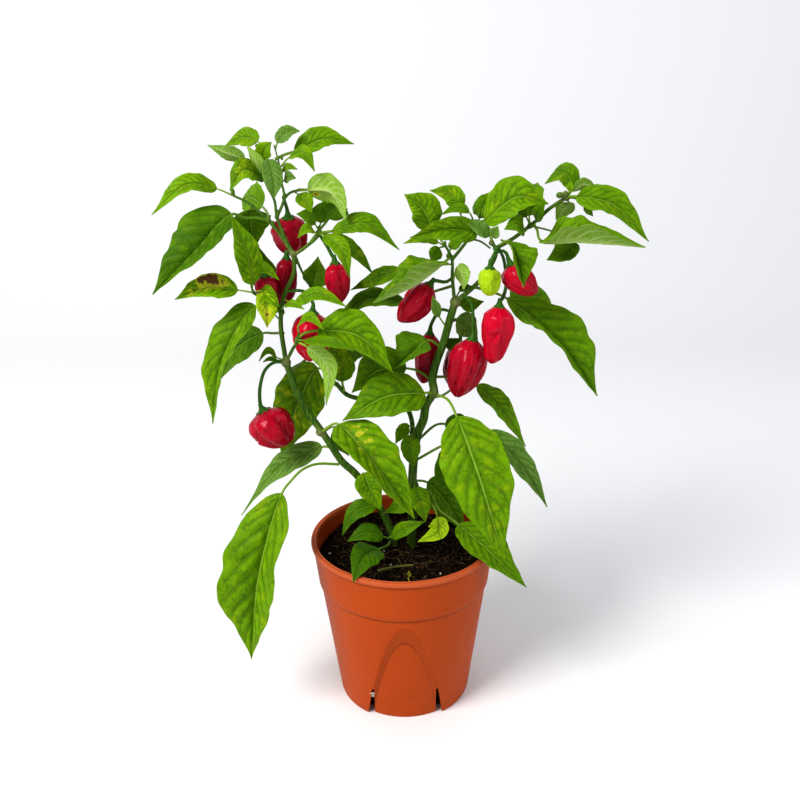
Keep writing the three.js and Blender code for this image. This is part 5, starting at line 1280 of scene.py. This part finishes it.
# How dark the painted shade is: on the sloping band, on the lines of an arch, on the lines round the pot
BAND_SHADE, OUTER_LINE, INNER_LINE, RING_LINE = 0.2, 0.4, 0.75, 0.7
LINE_HALF = 0.012
LINE_HEIGHTS = (103.0, 103.6, 135.2, 140.2)
POT_COLUMNS = 480


def body_radius(height):
    share = (height - BODY_FOOT) / (BODY_TOP - BODY_FOOT)
    return BASE_RADIUS + (BODY_TOP_RADIUS - BASE_RADIUS) * share


FOOT = [(53.5, 0.0), (54.6, 0.4), (BASE_RADIUS, BODY_FOOT)]
BODY = [(body_radius(height), height) for height in range(2, 103)]
SHOULDER = [(BODY_TOP_RADIUS, BODY_TOP), (68.6, 103.6), (69.0, 104.0), (69.6, 104.7), (70.0, 105.4)]
COLLAR = [(70.4, 109.0), (71.0, 115.0), (72.2, 125.0), (73.2, 134.5), (73.3, 135.2)]
RIM = [(73.7, 136.2), (74.6, 136.9), (75.0, 138.0), (75.0, 139.4), (74.7, 140.4), (74.0, 140.9)]
RIM_GROOVE = [(73.3, 140.7), (72.9, 140.2), (72.5, 140.7), (72.1, 141.0)]
OUTER_WALL = FOOT + BODY + SHOULDER + COLLAR + RIM + RIM_GROOVE
INNER_WALL = [(71.6, 141.0), (70.9, 140.4), (70.6, 138.0), (66.0, 103.0), (50.0, 4.0)]


def near_line(off):
    return math.exp(-((off / LINE_HALF) ** 2))


def outer_relief(angle, radius, height):
    if height >= BODY_TOP:
        return 0.0, RING_LINE if height in LINE_HEIGHTS else 0.0
    step = math.tau / ARCH_COUNT
    turned = (angle + math.pi / 2 + step / 2) % step - step / 2
    if abs(turned) >= step / 3:
        return 0.0, 0.0
    across = radius * math.sin(turned)
    inside_outer = 1 - (across / OUTER_HALF) ** 2 - height / OUTER_HEIGHT
    inside_inner = 1 - (across / INNER_HALF) ** 2 - height / INNER_HEIGHT
    full = FOOT_DEPTH + (TOP_DEPTH - FOOT_DEPTH) * height / BODY_TOP
    # Painted shade lies along the arch's edges, and fainter on its sloping band
    line = OUTER_LINE * near_line(inside_outer) + INNER_LINE * near_line(inside_inner)
    if inside_outer <= 0:
        return 0.0, line
    if inside_inner >= 0:
        return full, line
    return full * inside_outer / (inside_outer - inside_inner), max(line, BAND_SHADE)


def add_wall(skin, wall, relief):
    rings = []
    for radius, height in wall:
        rings.append([])
        for angle in angles_round(POT_COLUMNS):
            # The relief gives each point's depth and its painted shade
            depth, painted_shade = relief(angle, radius, height)
            reach = (radius - depth) * MM
            point = (reach * math.cos(angle), reach * math.sin(angle), height * MM)
            rings[-1].append(skin.add_point(point, mark=painted_shade))
    return rings


print("rings of the wall:", len(OUTER_WALL) + len(INNER_WALL))

# %% Make the pot
SLIT_INNER, SLIT_FOOT_WIDTH, SLIT_TOP_WIDTH = 25.0, 5.4, 1.6
SLIT_BOTTOM, SLIT_TOP = -3.0, 29.0
SLIT_FROM, SLIT_TO = 36, 58


def add_slit(blocks, side, turn):
    outline = [(SLIT_INNER, SLIT_BOTTOM), (SLIT_INNER + SLIT_FOOT_WIDTH, SLIT_BOTTOM)]
    outline += [(SLIT_INNER + SLIT_TOP_WIDTH, SLIT_TOP), (SLIT_INNER, SLIT_TOP)]
    ends = []
    for reach in (SLIT_FROM, SLIT_TO):
        ends.append(blocks.add_ring([turn @ (Vector((side * x, -reach, z)) * MM) for x, z in outline]))
    blocks.close(ends)


def cut_slits(pot):
    blocks = Skin()
    for arch in range(ARCH_COUNT):
        turn = Matrix.Rotation(math.tau * arch / ARCH_COUNT, 3, "Z")
        for side in (-1, 1):
            add_slit(blocks, side, turn)
    cutter = make_object("slit_blocks", blocks, [], smooth=False)
    turn_outward(cutter)
    cut = pot.modifiers.new("slits", "BOOLEAN")
    cut.object = cutter
    cut.operation = "DIFFERENCE"
    cut.solver = "EXACT"
    apply_modifiers(pot)
    bpy.data.objects.remove(cutter)


def make_pot():
    skin = Skin()
    outer = add_wall(skin, OUTER_WALL, outer_relief)
    inner = add_wall(skin, INNER_WALL, lambda angle, radius, height: (0.0, 0.0))
    skin.close(outer + inner)
    piece = make_piece("pot_shell", skin, [POT_PLASTIC], "pot")
    cut_slits(piece)
    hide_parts("pot")
    print("pot faces with its slits:", len(piece.data.polygons))


make_pot()

# %% [markdown]
# The potting mix is dark peat with fibres, bark crumbs and a few white grains. Its surface is a
# disc raised by noise at two scales, and the crumbs and fibres are scattered on it by seeded
# draws, each kind joined in one piece, as a particle system would be lost in an export.

# %% Soil finishes


def earth_finish(name, dark, light, size):
    earth = Finish(name, Roughness=0.95, Specular_IOR_Level=0.05)
    earth.mix(earth.ramp(earth.mottle(size, 6.0), 0.3, 0.7), dark, light)
    earth.bump(earth.mottle(1.0 * MM, 4.0), 0.9, 0.6 * MM)
    return earth.done()


PEAT = earth_finish("peat", (0.002, 0.0014, 0.001), (0.015, 0.008, 0.004), 3 * MM)
FIBRE = earth_finish("plant_fibre", (0.045, 0.024, 0.01), (0.27, 0.18, 0.09), 8 * MM)
BARK = earth_finish("bark_crumb", (0.012, 0.006, 0.003), (0.06, 0.032, 0.015), 4 * MM)
GRAIN = earth_finish("white_grain", (0.34, 0.31, 0.27), (0.68, 0.66, 0.61), 2 * MM)

# %% Bed of soil
SOIL_LEVEL, SOIL_RADIUS = 126.0, 68.0
SOIL_RINGS, SOIL_COLUMNS = 47, 160
SOIL_FOOT = ((49.4, 5.0), (65.0, 100.0))
MOUND_X, MOUND_Y, MOUND_RISE, MOUND_REACH = -30, 5, 3.5, 30


def soil_height(x, y):
    off = ((x - MOUND_X) ** 2 + (y - MOUND_Y) ** 2) / MOUND_REACH ** 2
    mound = MOUND_RISE * math.exp(-off)
    return SOIL_LEVEL + mound + 0.9 * math.sin(x / 7 + y / 11) + 0.7 * math.cos(y / 6 - x / 13)


def rough_height(x, y):
    lumps = 1.3 * noise.noise(Vector((x / 7, y / 7, 0))) + 0.8 * noise.noise(Vector((x / 2.2, y / 2.2, 5)))
    return soil_height(x, y) + lumps


def soil_ring(radius, height_at):
    ring = []
    for angle in angles_round(SOIL_COLUMNS):
        x, y = radius * math.cos(angle), radius * math.sin(angle)
        ring.append(Vector((x, y, height_at(x, y))) * MM)
    return ring


def make_soil():
    skin = Skin()
    rings = [skin.add_ring(soil_ring(radius, lambda x, y: height)) for radius, height in SOIL_FOOT]
    for step in range(SOIL_RINGS):
        rings.append(skin.add_ring(soil_ring(SOIL_RADIUS * (1 - step / SOIL_RINGS), rough_height)))
    skin.close(rings)
    piece = make_piece("soil_bed", skin, [PEAT], "soil")
    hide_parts("soil")


make_soil()

# %% Crumbs and fibres
CRUMB_SPREAD, FIBRE_SPREAD, ROOT_SPREAD = 66.0, 60.0, 30.0


def add_crumb(skin, centre, size):
    shift = Vector([draw.uniform(-9, 9) for _ in range(3)])
    stretch = (draw.uniform(0.7, 1.5), draw.uniform(0.7, 1.5), draw.uniform(0.5, 0.9))

    def moved(corner):
        lump = size * (1 + 0.5 * noise.noise(corner * 1.3 + shift))
        return centre + Vector([part * share * lump for part, share in zip(corner, stretch)])

    skin.add_ball(1, moved)


def spot_on_soil(reach):
    angle = draw.uniform(0, math.tau)
    radius = reach * math.sqrt(draw.random())
    return radius * math.cos(angle), radius * math.sin(angle)


def make_crumbs(name, count, small, big, finish):
    skin = Skin()
    for _ in range(count):
        x, y = spot_on_soil(CRUMB_SPREAD)
        size = draw.uniform(small, big)
        add_crumb(skin, Vector((x, y, rough_height(x, y) + 0.25 * size)) * MM, size * MM)
    make_piece(name, skin, [finish], "soil", smooth=False)


def make_fibres(name, count, steps, spread, finish):
    skin = Skin()
    for _ in range(count):
        x, y = spot_on_soil(spread)
        angle = draw.uniform(0, math.tau)
        points = []
        for _ in range(steps):
            points.append(Vector((x, y, rough_height(x, y) + draw.uniform(0.2, 1.8))) * MM)
            x += draw.uniform(1.5, 4.0) * math.cos(angle)
            y += draw.uniform(1.5, 4.0) * math.sin(angle)
            angle += draw.uniform(-0.5, 0.5)
        add_tube(skin, points, draw.uniform(0.08, 0.2) * MM, 0.07 * MM, sides=4)
    make_piece(name, skin, [finish], "soil")


make_crumbs("soil_crumbs", 420, 0.6, 2.2, PEAT)
make_crumbs("soil_bark", 90, 0.6, 1.8, BARK)
make_crumbs("soil_grains", 9, 0.5, 1.1, GRAIN)
make_fibres("soil_fibres", 340, 4, FIBRE_SPREAD, FIBRE)
make_fibres("soil_roots", 26, 11, ROOT_SPREAD, FIBRE)

slit_grain = Skin()
for place, size in (((-26.2, -50.2, 23.6), 2.0), ((-26.4, -49.4, 20.6), 1.5)):
    add_crumb(slit_grain, Vector(place) * MM, size * MM)
make_piece("slit_grain", slit_grain, [GRAIN], "soil", smooth=False)

# %% [markdown]
# A bit of dry olive stalk lies on the soil in front, as in the picture, and a thin yellowed sprig
# beside it. Both are short tubes that follow the soil.

# %% Make the twig and the sprig
TWIG_DARK, TWIG_LIGHT = (0.06, 0.065, 0.006), (0.2, 0.2, 0.03)
TWIG_LINE = [(-20, -36), (-6, -31), (8, -27)]
SPRIG_LINES = [[(4, -36), (5.5, -42), (3.5, -46), (5, -52)], [(3, -40), (5, -43), (8, -43.5)]]


def twig_finish():
    twig = Finish("dry_stalk", Roughness=0.7)
    streaks = twig.mottle(2 * MM)
    twig.mix(streaks, TWIG_DARK, TWIG_LIGHT)
    twig.bump(streaks, 0.5, 0.2 * MM)
    return twig.done()


def lay_stalks(name, lines, lift, first_radius, last_radius, finish, slot):
    skin = Skin()
    for line in lines:
        points = [Vector((x, y, soil_height(x, y) + lift)) * MM for x, y in line]
        add_tube(skin, points, first_radius * MM, last_radius * MM, spacing=1.5 * MM)
    return make_piece(name, skin, [finish], slot)


twig = lay_stalks("twig_stalk", [TWIG_LINE], 2.1, 1.2, 0.8, twig_finish(), "twig")
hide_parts("twig")
YELLOWED = earth_finish("yellowed_sprig", (0.16, 0.13, 0.008), (0.42, 0.37, 0.03), 3 * MM)
lay_stalks("yellowed_sprig", SPRIG_LINES, 1.4, 0.6, 0.4, YELLOWED, "soil")

# %% [markdown]
# The pot stands on a plain pale floor that turns up softly into a wall behind it, under a large
# soft light from the left, a weaker one from the right and the sky's even light.

# %% Floor and wall
FLOOR_HALF, WALL_TOP = 2.5, 3.0
WALL_AT, BEND, BEND_STEPS = 1.6, 0.6, 12
FLOOR_COLOUR = (0.86, 0.86, 0.87)


def make_stage():
    skin = Skin()
    outline = [(-FLOOR_HALF, 0.0)]
    for step in range(BEND_STEPS + 1):
        angle = math.pi / 2 * step / BEND_STEPS
        outline.append((WALL_AT - BEND + BEND * math.sin(angle), BEND - BEND * math.cos(angle)))
    outline.append((WALL_AT, WALL_TOP))
    rows = [[skin.add_point((x, y, z)) for x in (-FLOOR_HALF, FLOOR_HALF)] for y, z in outline]
    for lower, upper in zip(rows, rows[1:]):
        skin.bridge(lower, upper, closed=False)
    pale = Finish("pale_floor", Roughness=0.9)
    pale.colour = FLOOR_COLOUR
    floor = make_object("floor", skin, [pale.done()])


make_stage()

# %% Lights
SKY_COLOUR, SKY_STRENGTH = (0.93, 0.96, 1.0, 1), 0.46
PLANT_MIDDLE = Vector((0, 0, 0.25))


def add_light(name, place, size, energy, colour):
    lamp = bpy.data.lights.new(name, "AREA")
    lamp.shape = "DISK"
    lamp.size = size
    lamp.energy = energy
    lamp.color = colour
    light = bpy.data.objects.new(name, lamp)
    light.location = place
    light.rotation_euler = (PLANT_MIDDLE - Vector(place)).to_track_quat("-Z", "Y").to_euler()
    scene.collection.objects.link(light)


add_light("window", (-1.3, -1.1, 1.8), 1.1, 48, (1.0, 0.98, 0.95))
add_light("fill", (1.6, -0.9, 0.9), 1.4, 8, (0.95, 0.97, 1.0))
world = bpy.data.worlds.new("sky")
world.use_nodes = True
sky = world.node_tree.nodes["Background"].inputs
sky["Color"].default_value = SKY_COLOUR
sky["Strength"].default_value = SKY_STRENGTH
scene.world = world
print("lights:", len(bpy.data.lights))

# %% [markdown]
# The finished pieces may stand a little proud of the frame's solids and no more.
